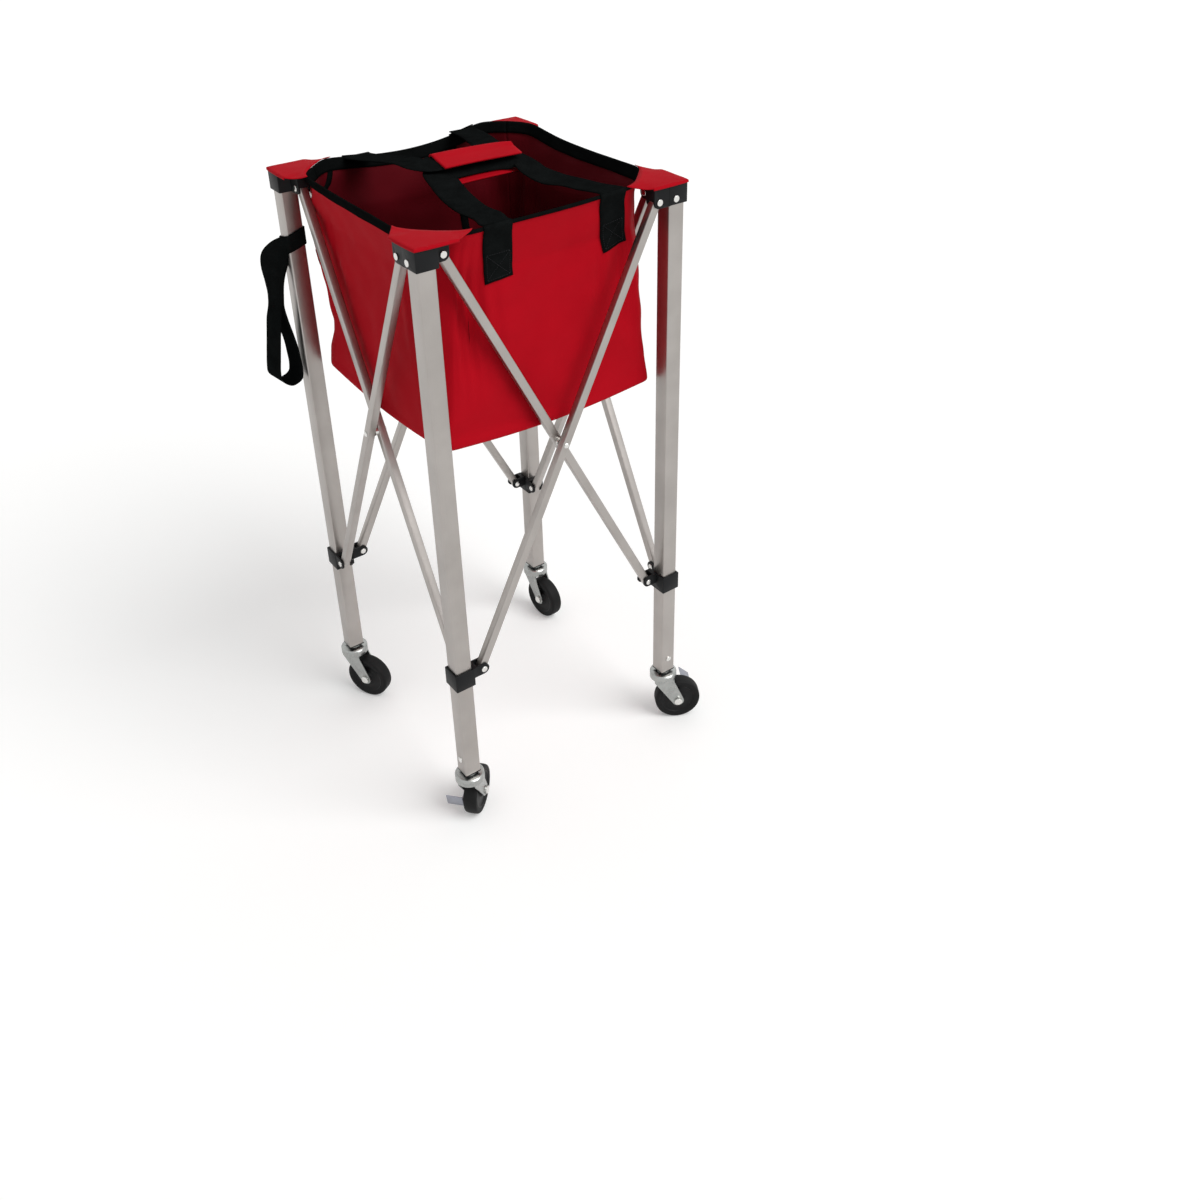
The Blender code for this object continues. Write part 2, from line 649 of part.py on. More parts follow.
def lever_mesh(start):
    """A stamped brake lever about the axle, its pedal turned outwards at the end."""
    outline = arc((0, 0), 0.0085, 45, 315, 10)
    outline += [(LEVER_REACH, -LEVER_WIDTH / 2), (LEVER_REACH, LEVER_WIDTH / 2)]
    middle = start + LEVER_PLATE / 2
    pedal = box((LEVER_REACH - LEVER_PLATE, start, -PEDAL_WIDTH / 2),
                (LEVER_REACH, PEDAL_OUT, PEDAL_WIDTH / 2), 0.0006)
    return built(
        plate([outline], LEVER_PLATE, upright(middle)),
        ("UNION", pedal),
        ("DIFFERENCE", rod(AXLE_RADIUS + FIT_GAP, (0, start - 0.01, 0), (0, start + 0.01, 0))),
    )


def make_casters():
    fork, wheel = fork_mesh(), wheel_mesh()
    outside = FORK_INSIDE / 2 + FORK_PLATE
    for k, corner in enumerate(CORNERS):
        heading = math.radians(CASTER_ANGLES[corner])
        foot = leg_at(k)
        swivel = pivot("turn_caster_" + corner, foot, LEG_GROUP[corner])
        axle_at = foot + Vector((TRAIL * math.cos(heading), TRAIL * math.sin(heading), WHEEL_RADIUS))
        rolling = pivot("turn_wheel_" + corner, axle_at, swivel)
        piece("caster_fork_" + corner, fork.copy(), swivel, ZINC, foot, (0, 0, heading))
        piece("caster_wheel_" + corner, wheel.copy(), rolling, WHEEL_RUBBER, axle_at, (0, 0, heading))
        far = outside
        if corner in BRAKES:
            far = outside + 2 * FIT_GAP + LEVER_PLATE
            braking = pivot("turn_brake_" + corner, axle_at, swivel)
            lever = piece("brake_lever_" + corner, lever_mesh(outside + FIT_GAP), braking, ZINC, axle_at)
            lever.rotation_euler = (0, -math.radians(BRAKES[corner]), heading)
        piece("caster_axle_" + corner, axle_mesh(-outside, far), swivel, ZINC, axle_at, (0, 0, heading))


# Ball bag

def bag_section(height):
    """How far the bag is inside the legs' middles, and its corner cut, at a height."""
    if height >= FLARE_Z:
        t = (RIM_Z - height) / (RIM_Z - FLARE_Z)
        return RIM_INSET + t * (WALL_INSET - RIM_INSET), RIM_CUT + t * (FLARE_CUT - RIM_CUT)
    t = (FLARE_Z - height) / (FLARE_Z - BAG_BOTTOM_Z)
    return WALL_INSET, FLARE_CUT + t * (BOTTOM_CUT - FLARE_CUT)


def bag_corner(number, height):
    """One of the bag's eight corners, counted from the front face's right end."""
    inset, cut = bag_section(height)
    k, end = divmod(number, 2)
    along = H - cut if end == 0 else H - inset
    across = -(H - inset) if end == 0 else -(H - cut)
    return turn(k) @ Vector((along, across, height))


def bag_strip(numbers, trim_start, trim_end):
    """The bag's wall through some of its corners in turn, trimmed a little at both ends."""
    heights = [RIM_Z, FLARE_Z, (FLARE_Z + BAG_BOTTOM_Z) / 2, BAG_BOTTOM_Z]
    rows = []
    for height in heights:
        row = [bag_corner(number, height) for number in numbers]
        if trim_start:
            row[0] = row[0] + (row[1] - row[0]).normalized() * trim_start
        if trim_end:
            row[-1] = row[-1] + (row[-2] - row[-1]).normalized() * trim_end
        rows.append(row)
    return sheet(rows, CLOTH, 1.0)


def flap_mesh(k):
    """The flap that hooks the bag over a cap, as a flat pocket top."""
    along = RIM_CUT
    inset = RIM_INSET
    outline = [(-FLAP_OUT, -FLAP_OUT), (FLAP_ALONG, -FLAP_OUT), (along, inset), (along, inset + CLOTH),
               (inset + CLOTH, along), (inset, along), (-FLAP_OUT, FLAP_ALONG)]
    bottom = CAP_TOP_Z + FLAP_RISE
    place = turn(k) @ Matrix.Translation((-H, -H, bottom + CLOTH / 2))
    return plate([outline], CLOTH, place)


def floor_mesh(side):
    """Half of the bag's floor, as a flat panel between the walls."""
    inset, cut = WALL_INSET + CLOTH + SEAM_GAP, BOTTOM_CUT
    edge = H - inset
    outline = [(-edge, -SEAM_GAP / 2), (-edge, -edge + cut), (-edge + cut, -edge), (edge - cut, -edge),
               (edge, -edge + cut), (edge, -SEAM_GAP / 2)]
    place = Matrix.Translation((0, 0, BAG_BOTTOM_Z + FLOOR_THICK / 2 + FIT_GAP))
    return plate([outline], FLOOR_THICK, Matrix.Rotation(math.pi * side, 4, "Z") @ place)


def local(mesh, group):
    """Gives a mesh made in the hopper's frame the origin of its group."""
    mesh.transform(Matrix.Translation(-pivot_at[group]))
    return mesh


def cloth_piece(name, mesh, group, material):
    return piece(name, local(mesh, group), group, material, pivot_at[group])


def make_bag():
    trim = SEAM_GAP / 2 + CLOTH * math.tan(math.pi / 8)
    front = built(bag_strip([5, 6, 7, 8], trim, trim), ("UNION", flap_mesh(0)))
    east = built(bag_strip([0, 1, 2], trim, trim), ("UNION", flap_mesh(1)))
    north = built(bag_strip([3, 4, 5], trim, trim), ("UNION", flap_mesh(3)))
    corner = built(bag_strip([2, 3], trim, trim), ("UNION", flap_mesh(2)))
    cloth_piece("bag_front", front, "frame", RED_CLOTH)
    cloth_piece("bag_east", east, "turn_leg_se", RED_CLOTH)
    cloth_piece("bag_north", north, "turn_leg_nw", RED_CLOTH)
    cloth_piece("bag_corner_ne", corner, "turn_leg_ne", RED_CLOTH)
    edge = H - WALL_INSET - CLOTH - SEAM_GAP
    pivot("turn_floor_s", (0, -edge, BAG_BOTTOM_Z), "frame")
    pivot("turn_floor_n", (0, edge, BAG_BOTTOM_Z), "turn_leg_nw")
    cloth_piece("bag_floor_s", floor_mesh(0), "turn_floor_s", RED_CLOTH)
    cloth_piece("bag_floor_n", floor_mesh(1), "turn_floor_n", RED_CLOTH)


# Carry handles: each is one length of webbing, sewn to the wall at both ends

def handle_rows(lift):
    """Cross lines of the front handle's webbing, from its left tail to its right one."""
    half = WEBBING / 2
    off_wall = FIT_GAP + WEBBING_THICK / 2
    flare_y = -H + WALL_INSET - off_wall
    rim_y = -H + RIM_INSET - off_wall
    over = RIM_Z + FIT_GAP + WEBBING_THICK / 2 + 0.0004
    grip = GRIP_Z + lift
    run = [(flare_y, TAIL_BOTTOM_Z), (flare_y, FLARE_Z), (rim_y, RIM_Z), (rim_y + 0.0012, over),
           (rim_y + 0.006, over), (rim_y + 0.020, over - 0.003), (rim_y + 0.045, DROOP_Z + 0.004),
           (rim_y + 0.075, DROOP_Z + 0.006), (rim_y + 0.105, (DROOP_Z + grip) / 2), (-0.050, grip),
           (-TURN_RADIUS, grip)]
    left = [((HANDLE_LEFT, y, z), (1, 0, 0)) for y, z in run]
    for step in range(1, 6):
        angle = step / 5 * math.pi / 2
        middle = (HANDLE_LEFT + TURN_RADIUS - TURN_RADIUS * math.cos(angle),
                  -TURN_RADIUS + TURN_RADIUS * math.sin(angle), grip)
        left.append((middle, (math.cos(angle), -math.sin(angle), 0)))
    right = []
    for (x, y, z), (dx, dy, dz) in reversed(left):
        across = HANDLE_RIGHT - (x - HANDLE_LEFT)
        right.append(((across, y, z), (dx, -dy, dz)))
    rows = []
    for number, ((x, y, z), (dx, dy, dz)) in enumerate(left + right):
        if number >= len(left):
            dx, dy = -dx, -dy
        inner = Vector((x, y, z)) - half * Vector((dx, dy, dz))
        outer = Vector((x, y, z)) + half * Vector((dx, dy, dz))
        rows.append([inner, outer])
    return rows


def wrap_mesh():
    """The grip wrap: a sleeve round both handles, open along its front edge."""
    half = WEBBING / 2 + WRAP_ROOM
    low = GRIP_Z - WEBBING_THICK / 2 - FIT_GAP
    high = GRIP_Z + GRIP_STEP + WEBBING_THICK / 2 + FIT_GAP
    t = WRAP_THICK
    outline = [(-half, low), (half, low), (half, high), (-half, high), (-half, high + t),
               (half + t, high + t), (half + t, low - t), (-half, low - t)]
    length = WRAP_RIGHT - WRAP_LEFT
    place = Matrix.Translation(((WRAP_LEFT + WRAP_RIGHT) / 2, 0, 0))
    stand = Matrix(((0, 0, 1, 0), (1, 0, 0, 0), (0, 1, 0, 0), (0, 0, 0, 1)))
    return plate([outline], length, place @ stand)


def make_handles():
    edge = H - RIM_INSET
    pivot("turn_handle_s", (0, -edge, RIM_Z), "frame")
    pivot("turn_handle_n", (0, edge, RIM_Z), "turn_leg_nw")
    front = sheet(handle_rows(0.0), WEBBING_THICK)
    back = sheet(handle_rows(GRIP_STEP), WEBBING_THICK)
    shift = Matrix.Translation((HANDLE_LEFT + HANDLE_RIGHT, 0, 0))
    back.transform(shift @ Matrix.Rotation(math.pi, 4, "Z"))
    cloth_piece("handle_s", front, "turn_handle_s", WEBBING_BLACK)
    cloth_piece("handle_n", back, "turn_handle_n", WEBBING_BLACK)
    cloth_piece("grip_wrap", wrap_mesh(), "turn_handle_s", RED_CLOTH)


def strap_mesh():
    """The storage strap: a band round the north-west leg and the loop that hangs from it."""
    inner = TUBE / 2 + FIT_GAP
    outer = inner + STRAP_THICK
    band = plate([rounded_square(2 * outer, TUBE_CORNER), rounded_square(2 * inner, TUBE_CORNER)],
                 STRAP_WIDTH, Matrix.Translation((-H, H, STRAP_TIE_Z)))
    drop, waist_x, middle = STRAP_DROP, STRAP_WAIST_AT, STRAP_LOOP_SHIFT
    half, waist = STRAP_LOOP / 2, STRAP_WAIST / 2
    top_right = half + middle
    loop = [(-0.007, -0.08 * drop), (waist_x - waist, -0.33 * drop), (-0.7 * half, -0.67 * drop),
            (middle - half, -0.90 * drop), (-0.6 * half, -drop), (half, -0.96 * drop),
            (middle + half, -0.87 * drop), (half, -0.77 * drop), (waist_x + waist, -0.33 * drop),
            (top_right, -0.09 * drop), (top_right, STRAP_TONGUE / 2), (waist_x + waist, STRAP_TONGUE / 4)]
    opening = [(0.009, -0.64 * drop), (0.014, -0.90 * drop), (-0.003, -0.94 * drop)]
    x, y = STRAP_LOOP_AT
    facing = Matrix.Translation((-H + x, H + y, STRAP_TIE_Z)) @ Matrix.Rotation(
        math.radians(STRAP_TURN), 4, "Z")
    hanging = plate([loop, opening], STRAP_THICK, facing @ Matrix.Rotation(math.pi / 2, 4, "X"))
    end = facing @ Vector((top_right, 0, 0))
    tongue = box((end.x - STRAP_THICK, end.y - STRAP_THICK, STRAP_TIE_Z - STRAP_TONGUE / 2),
                 (-H - outer + STRAP_THICK / 2, end.y + STRAP_THICK, STRAP_TIE_Z + STRAP_TONGUE / 2))
    return built(band, ("UNION", tongue), ("UNION", hanging))


make_braces()
make_cross_rivets()
make_corners()
make_casters()
make_bag()
make_handles()
cloth_piece("leg_strap", strap_mesh(), "turn_leg_nw", WEBBING_BLACK)
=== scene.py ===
import math

import bpy
import numpy as np
from mathutils import Matrix, Vector, noise


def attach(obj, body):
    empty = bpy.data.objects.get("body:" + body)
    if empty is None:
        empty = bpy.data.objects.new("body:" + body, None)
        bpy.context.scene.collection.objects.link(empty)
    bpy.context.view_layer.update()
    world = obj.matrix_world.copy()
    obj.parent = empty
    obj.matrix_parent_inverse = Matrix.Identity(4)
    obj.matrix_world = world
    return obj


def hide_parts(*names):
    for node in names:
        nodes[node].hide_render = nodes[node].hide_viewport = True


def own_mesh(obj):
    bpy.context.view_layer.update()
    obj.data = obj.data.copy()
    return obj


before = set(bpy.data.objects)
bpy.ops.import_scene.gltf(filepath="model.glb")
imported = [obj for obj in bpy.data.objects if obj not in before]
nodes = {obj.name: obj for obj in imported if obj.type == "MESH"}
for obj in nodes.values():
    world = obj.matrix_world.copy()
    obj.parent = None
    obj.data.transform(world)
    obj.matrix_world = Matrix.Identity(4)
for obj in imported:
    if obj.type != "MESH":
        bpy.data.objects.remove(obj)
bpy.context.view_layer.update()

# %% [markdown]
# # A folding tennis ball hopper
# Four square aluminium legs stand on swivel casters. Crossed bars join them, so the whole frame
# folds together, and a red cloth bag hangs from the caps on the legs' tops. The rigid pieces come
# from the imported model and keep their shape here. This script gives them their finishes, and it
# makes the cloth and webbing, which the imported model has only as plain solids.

# %% [markdown]
# ## Camera
# The photograph was taken from a standing person's height, looking down at one front leg. Its
# position and lens were solved from the square frame, so the camera is set as numbers, with a
# small shift because the object isn't in the middle of the photograph's frame.

# %% Camera
PHOTO_FOCAL = 1197.0 / 1200      # focal length as a share of the picture's width
SENSOR = 36.0
FRAME_SHIFT = -0.12
CAMERA_PLACE = (-0.7988, -1.3533, 1.4033)
CAMERA_HEADING, CAMERA_TILT, CAMERA_ROLL = -36.513, 59.536, -0.941
camera_data = bpy.data.cameras.new("photo_camera")
camera_data.sensor_width = SENSOR
camera_data.lens = PHOTO_FOCAL * SENSOR
camera_data.shift_y = FRAME_SHIFT
camera = bpy.data.objects.new("photo_camera", camera_data)
bpy.context.scene.collection.objects.link(camera)
camera.matrix_world = (
    Matrix.Translation(CAMERA_PLACE)
    @ Matrix.Rotation(math.radians(CAMERA_HEADING), 4, "Z")
    @ Matrix.Rotation(math.radians(CAMERA_TILT), 4, "X")
    @ Matrix.Rotation(math.radians(CAMERA_ROLL), 4, "Z")
)
bpy.context.scene.camera = camera
print("lens: %.1f mm" % camera_data.lens)

# %% [markdown]
# ## Colours and nodes
# Colours are written as the hex values that a picture shows. Blender's sockets work with light
# itself, so one function turns hex into linear values. Every material is a small tree of nodes,
# and one function adds a node with its settings and links. Each finish ends the same way: one
# pattern shades the colour, another one changes the gloss, and a third one may roughen the face.

# %% Colour and node helpers
def linear(hex_colour):
    """An sRGB hex colour as linear red, green, blue and alpha."""
    channels = [int(hex_colour[i:i + 2], 16) / 255 for i in (1, 3, 5)]
    low = [c / 12.92 if c <= 0.04045 else ((c + 0.055) / 1.055) ** 2.4 for c in channels]
    return (*low, 1.0)


def add_node(tree, kind, sockets=None, **settings):
    """Adds a node. A socket's value is a number, a colour, or the output that feeds it."""
    node = tree.nodes.new(kind)
    for name, value in settings.items():
        setattr(node, name, value)
    for name, value in (sockets or {}).items():
        if isinstance(value, bpy.types.NodeSocket):
            tree.links.new(value, node.inputs[name])
        else:
            node.inputs[name].default_value = value
    return node


def start_material(name, colour, roughness, **sockets):
    """A material with its Principled shader. Returns the material, its tree and the shader."""
    material = bpy.data.materials.new(name)
    material.use_nodes = True
    tree = material.node_tree
    shader = tree.nodes["Principled BSDF"]
    shader.inputs["Base Color"].default_value = linear(colour)
    shader.inputs["Roughness"].default_value = roughness
    shader.inputs["Specular IOR Level"].default_value = 0.5
    for socket, value in sockets.items():
        shader.inputs[socket.replace("_", " ")].default_value = value
    return material, tree, shader


def drive_shader(tree, shader, tone, colours, wear, roughness, relief=None):
    """Lets a tone run between two hex colours and wear between two roughnesses, with a relief."""
    dark, light = colours
    mix = add_node(tree, "ShaderNodeMix", {0: tone, 6: linear(dark), 7: linear(light)},
                   data_type="RGBA")
    tree.links.new(mix.outputs[2], shader.inputs["Base Color"])
    smooth, dull = roughness
    spread = add_node(tree, "ShaderNodeMapRange",
                      {"Value": wear, "To Min": smooth, "To Max": dull})
    tree.links.new(spread.outputs["Result"], shader.inputs["Roughness"])
    if relief:
        tree.links.new(relief.outputs["Normal"], shader.inputs["Normal"])


MM = 0.001
print("a middle grey in linear light: %.3f" % linear("#808080")[0])

# %% [markdown]
# ## Anodised aluminium
# The legs and bars are drawn tube, etched and clear anodised, which gives a satin grey metal.
# Drawing leaves faint lines along a tube, so the pattern is noise that is stretched along it. The
# lines are about 0.4 mm apart. They change the roughness more than the colour, which is what
# makes a long soft highlight. Each bar leans, so its material turns the pattern with it.

# %% Anodised aluminium
DRAW_LINE = 0.4 * MM
LINE_STRETCH = 160


def anodised_aluminium(name, upright):
    """Satin tube. upright is the rotation that stands the tube's length along Z."""
    material, tree, shader = start_material(name, "#AAA6A1", 0.36, Metallic=1.0)
    place = add_node(tree, "ShaderNodeTexCoord").outputs["Object"]
    turned = add_node(tree, "ShaderNodeMapping",
                      {"Vector": place, "Rotation": upright.to_euler("XYZ")})
    stretched = add_node(tree, "ShaderNodeMapping",
                         {"Vector": turned.outputs[0], "Scale": (1, 1, 1 / LINE_STRETCH)})
    lines = add_node(tree, "ShaderNodeTexNoise",
                     {"Vector": stretched.outputs[0], "Scale": 1 / DRAW_LINE / 2, "Detail": 2.0,
                      "Roughness": 0.6})
    cloud = add_node(tree, "ShaderNodeTexNoise",
                     {"Vector": place, "Scale": 18.0, "Detail": 3.0})
    relief = add_node(tree, "ShaderNodeBump",
                      {"Height": lines.outputs["Fac"], "Strength": 0.12, "Distance": 0.02 * MM})
    drive_shader(tree, shader, cloud.outputs["Fac"], ("#9C9793", "#B6B1AD"),
                 lines.outputs["Fac"], (0.27, 0.47), relief)
    return material


BAR_LEAN = math.radians(26.952)
leg_aluminium = anodised_aluminium("anodised_aluminium_leg", Matrix.Identity(3))
bar_aluminium = {}
for quarter, face in enumerate("senw"):
    for kind, side in (("inner", 1), ("outer", -1)):
        upright = (Matrix.Rotation(side * BAR_LEAN, 3, "Y")
                   @ Matrix.Rotation(-quarter * math.pi / 2, 3, "Z"))
        name = "anodised_aluminium_bar_%s_%s" % (face, kind)
        bar_aluminium["brace_%s_%s" % (face, kind)] = anodised_aluminium(name, upright)
print("tube finishes:", 1 + len(bar_aluminium))

# %% [markdown]
# ## Moulded nylon, rivet steel and zinc plate
# Caps, collars and foot plugs are glass-filled nylon from a spark-eroded mould: black, with a
# fine even grain and a satin gloss. The grain is 0.15 mm on the real one and is drawn at 0.5 mm,
# so that it shows. Rivets are bright nickel-plated steel, a little brushed by handling. The
# casters' stampings are bright zinc, which is bluish with cloudy patches where the bath ran off.

# %% Moulded nylon
MOULD_GRAIN = 0.5 * MM
black_nylon, tree, shader = start_material("moulded_black_nylon", "#0F1012", 0.46, IOR=1.53,
                                          Specular_IOR_Level=0.16)
place = add_node(tree, "ShaderNodeTexCoord").outputs["Object"]
grain = add_node(tree, "ShaderNodeTexNoise",
                 {"Vector": place, "Scale": 1 / MOULD_GRAIN / 2, "Detail": 2.0})
flow = add_node(tree, "ShaderNodeTexNoise", {"Vector": place, "Scale": 60.0, "Detail": 2.0})
relief = add_node(tree, "ShaderNodeBump",
                  {"Height": grain.outputs["Fac"], "Strength": 0.35, "Distance": 0.06 * MM})
drive_shader(tree, shader, flow.outputs["Fac"], ("#0B0C0E", "#141517"),
             grain.outputs["Fac"], (0.40, 0.56), relief)
print("moulded grain: %.1f mm" % (MOULD_GRAIN / MM))

# %% Rivet steel
rivet_steel, tree, shader = start_material("nickel_plated_rivet_steel", "#DAD9D6", 0.24,
                                           Metallic=1.0)
place = add_node(tree, "ShaderNodeTexCoord").outputs["Object"]
rub = add_node(tree, "ShaderNodeTexNoise", {"Vector": place, "Scale": 900.0, "Detail": 3.0})
drive_shader(tree, shader, rub.outputs["Fac"], ("#CFCECB", "#E4E3E0"),
             rub.outputs["Fac"], (0.16, 0.34))
print("rivet finish:", rivet_steel.name)

# %% Zinc plate
CLOUD, ROLLING_GRAIN = 12 * MM, 0.6 * MM


def zinc_plate(name, dark, light, smooth, dull):
    """Plated stamping: cloudy patches over a fine rolling grain."""
    material, tree, shader = start_material(name, light, smooth, Metallic=1.0)
    place = add_node(tree, "ShaderNodeTexCoord").outputs["Object"]
    clouds = add_node(tree, "ShaderNodeTexNoise",
                      {"Vector": place, "Scale": 1 / CLOUD, "Detail": 4.0, "Distortion": 0.6})
    grain = add_node(tree, "ShaderNodeTexNoise",
                     {"Vector": place, "Scale": 1 / ROLLING_GRAIN, "Detail": 1.0})
    relief = add_node(tree, "ShaderNodeBump",
                      {"Height": grain.outputs["Fac"], "Strength": 0.15, "Distance": 0.03 * MM})
    drive_shader(tree, shader, clouds.outputs["Fac"], (dark, light),
                 clouds.outputs["Fac"], (smooth, dull), relief)
    return material


bright_zinc = zinc_plate("bright_zinc_plate", "#8C8E8D", "#B4B6B3", 0.20, 0.36)
pedal_zinc = zinc_plate("pale_blue_zinc_plate", "#888A94", "#A6A8B0", 0.34, 0.48)
print("plated finishes:", bright_zinc.name, pedal_zinc.name)

# %% [markdown]
# ## Wheel plastics
# The wheels are one black moulding: a soft thermoplastic rubber tread on a hard polypropylene
# core. The tread is dull and picks up grey dust, and the core's side is smoother. Both colours
# are close, and the difference is in the roughness.

# %% Wheel tread and core
def wheel_plastic(name, dark, light, smooth, dull):
    """Black plastic with scuffs some 7 mm across, which hold a little grey dust."""
    material, tree, shader = start_material(name, dark, smooth, IOR=1.50, Specular_IOR_Level=0.16)
    place = add_node(tree, "ShaderNodeTexCoord").outputs["Object"]
    scuffs = add_node(tree, "ShaderNodeTexNoise",
                      {"Vector": place, "Scale": 140.0, "Detail": 5.0, "Roughness": 0.65})
    relief = add_node(tree, "ShaderNodeBump",
                      {"Height": scuffs.outputs["Fac"], "Strength": 0.25, "Distance": 0.1 * MM})
    drive_shader(tree, shader, scuffs.outputs["Fac"], (dark, light),
                 scuffs.outputs["Fac"], (smooth, dull), relief)
    return material


rubber_tread = wheel_plastic("thermoplastic_rubber_tread", "#0C0C0D", "#1A1A1A", 0.52, 0.72)
wheel_core = wheel_plastic("polypropylene_wheel_core", "#0E0E0F", "#171718", 0.34, 0.50)
print("wheel finishes:", rubber_tread.name, wheel_core.name)

# %% [markdown]
# ## Finishing the imported pieces
# A imported piece gets its finish through its material slots. Real tubes, mouldings and stampings
# have no knife edges. On the caps, sliders, caster forks and brake levers a narrow bevel catches
# the light along theirs. The modifiers weld the imported faces together first. A small node group
# then shades round surfaces smoothly, and leaves edges sharper than 32 degrees crisp.

# %% Smooth shading as a modifier
SHARP = math.radians(32)
smoother = bpy.data.node_groups.new("smooth_round_faces", "GeometryNodeTree")
smoother.interface.new_socket("Geometry", in_out="INPUT", socket_type="NodeSocketGeometry")
smoother.interface.new_socket("Geometry", in_out="OUTPUT", socket_type="NodeSocketGeometry")
source = add_node(smoother, "NodeGroupInput")
bend = add_node(smoother, "GeometryNodeInputMeshEdgeAngle")
gentle = add_node(smoother, "ShaderNodeMath", {0: bend.outputs["Unsigned Angle"], 1: SHARP},
                  operation="LESS_THAN")
faces = add_node(smoother, "GeometryNodeSetShadeSmooth",
                 {"Geometry": source.outputs[0], "Shade Smooth": True}, domain="FACE")
edges = add_node(smoother, "GeometryNodeSetShadeSmooth",
                 {"Geometry": faces.outputs[0], "Shade Smooth": gentle.outputs[0]}, domain="EDGE")
add_node(smoother, "NodeGroupOutput", {0: edges.outputs[0]})
print("sharp above: %.0f degrees" % math.degrees(SHARP))

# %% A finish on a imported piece
NYLON_EDGE, STAMPED_EDGE = 0.5 * MM, 0.35 * MM


def finish_packed(name, material, bevel=0.0):
    """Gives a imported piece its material, soft edges and smooth shading."""
    piece = nodes[name]
    if not piece.material_slots:
        piece.data.materials.append(None)
    for slot in piece.material_slots:
        slot.material = material
    weld = piece.modifiers.new("weld", "WELD")
    weld.merge_threshold = 0.01 * MM
    if bevel:
        edge = piece.modifiers.new("soft edges", "BEVEL")
        edge.width, edge.segments, edge.limit_method = bevel, 2, "ANGLE"
        edge.angle_limit = math.radians(40)
    shade = piece.modifiers.new("smooth round faces", "NODES")
    shade.node_group = smoother


print("soft edges: %.2f and %.2f mm" % (NYLON_EDGE / MM, STAMPED_EDGE / MM))

# %% Which piece has which finish
finished = 0
for name in sorted(nodes):
    if name.startswith("leg_") and name != "leg_strap":
        finish_packed(name, leg_aluminium)
    elif name.startswith("brace_"):
        finish_packed(name, bar_aluminium[name])
    elif name.startswith(("cap_rivet_", "cross_rivet_", "caster_axle_")):
        finish_packed(name, rivet_steel)
    elif name.startswith(("cap_", "slider_")):
        finish_packed(name, black_nylon, NYLON_EDGE)
    elif name.startswith("foot_plug_"):
        finish_packed(name, black_nylon)
    elif name.startswith("caster_fork_"):
        finish_packed(name, bright_zinc, STAMPED_EDGE)
    elif name.startswith("brake_lever_"):
        finish_packed(name, pedal_zinc, STAMPED_EDGE)
    else:
        continue
    finished += 1
print("packed pieces kept:", finished)

# %% [markdown]
# ## Meshes from profiles and grids
# The rivet heads and wheels are round, so each is a profile that is turned about an axis. The
# cloth pieces are grids of points with a thickness, closed all round like the real material.
# Each grid point also keeps its place on the flat cloth in metres, as a UV map, so that the
# weave follows the cloth when it bends or is squashed.

# %% Placing a mesh
def place_mesh(name, parts, materials):
    """Joins parts (points, faces, flat places or None, slot) into one object."""
    points, faces, flats, slots = [], [], [], []
    for part_points, part_faces, part_flats, slot in parts:
        start = len(points)
        points += [tuple(p) for p in part_points]
        if part_flats is None:
            part_flats = [(0, 0)] * len(part_points)
        flats += [tuple(f) for f in part_flats]
        faces += [[start + i for i in face] for face in part_faces]
        slots += [slot] * len(part_faces) if isinstance(slot, int) else list(slot)
    mesh = bpy.data.meshes.new(name)
    mesh.from_pydata(points, [], faces)
    flat_map = mesh.uv_layers.new(name="flat cloth")
    corners = np.empty(len(mesh.loops), int)
    mesh.loops.foreach_get("vertex_index", corners)
    flat_map.data.foreach_set("uv", np.array(flats, float)[corners].ravel())
    mesh.polygons.foreach_set("material_index", slots)
    mesh.polygons.foreach_set("use_smooth", [True] * len(faces))
    for material in materials:
        mesh.materials.append(material)
    mesh.update()
    piece = bpy.data.objects.new(name, mesh)
    bpy.context.scene.collection.objects.link(piece)
    return piece


print("meshes so far:", len(bpy.data.meshes))

# %% Turnings
def turned_part(profile, axis_point, axis, sides, slots=0):
    """A closed turning: profile is (radius, along) from end to end, both ends on the axis."""
    axis = Vector(axis).normalized()
    across = axis.orthogonal().normalized()
    third = axis.cross(across)
    points, faces, kinds, rings = [], [], [], []
    for radius, along in profile:
        middle = Vector(axis_point) + axis * along
        if radius == 0:
            rings.append([len(points)])
            points.append(middle)
            continue
        rings.append(list(range(len(points), len(points) + sides)))
        for k in range(sides):
            angle = 2 * math.pi * k / sides
            points.append(middle + radius * (math.cos(angle) * across + math.sin(angle) * third))
    for number, (low, high) in enumerate(zip(rings, rings[1:])):
        for k in range(sides):
            after = (k + 1) % sides
            if len(low) == 1:
                faces.append([low[0], high[k], high[after]][::-1])
            elif len(high) == 1:
                faces.append([low[k], low[after], high[0]])
            else:
                faces.append([low[k], low[after], high[after], high[k]])
            kinds.append(slots if isinstance(slots, int) else slots[number])
    return points, faces, None, kinds


cone = turned_part([(0, 0), (1, 1), (0, 1)], (0, 0, 0), (0, 0, 1), 12)
print("faces on a turned cone with 12 sides:", len(cone[1]))

# %% Cloth grids
def grid_normals(grid):
    """The unit normal at each point of a rows by columns grid."""
    down = np.gradient(grid, axis=0)
    along = np.gradient(grid, axis=1)
    normal = np.cross(down, along)
    return normal / np.maximum(np.linalg.norm(normal, axis=2, keepdims=True), 1e-12)


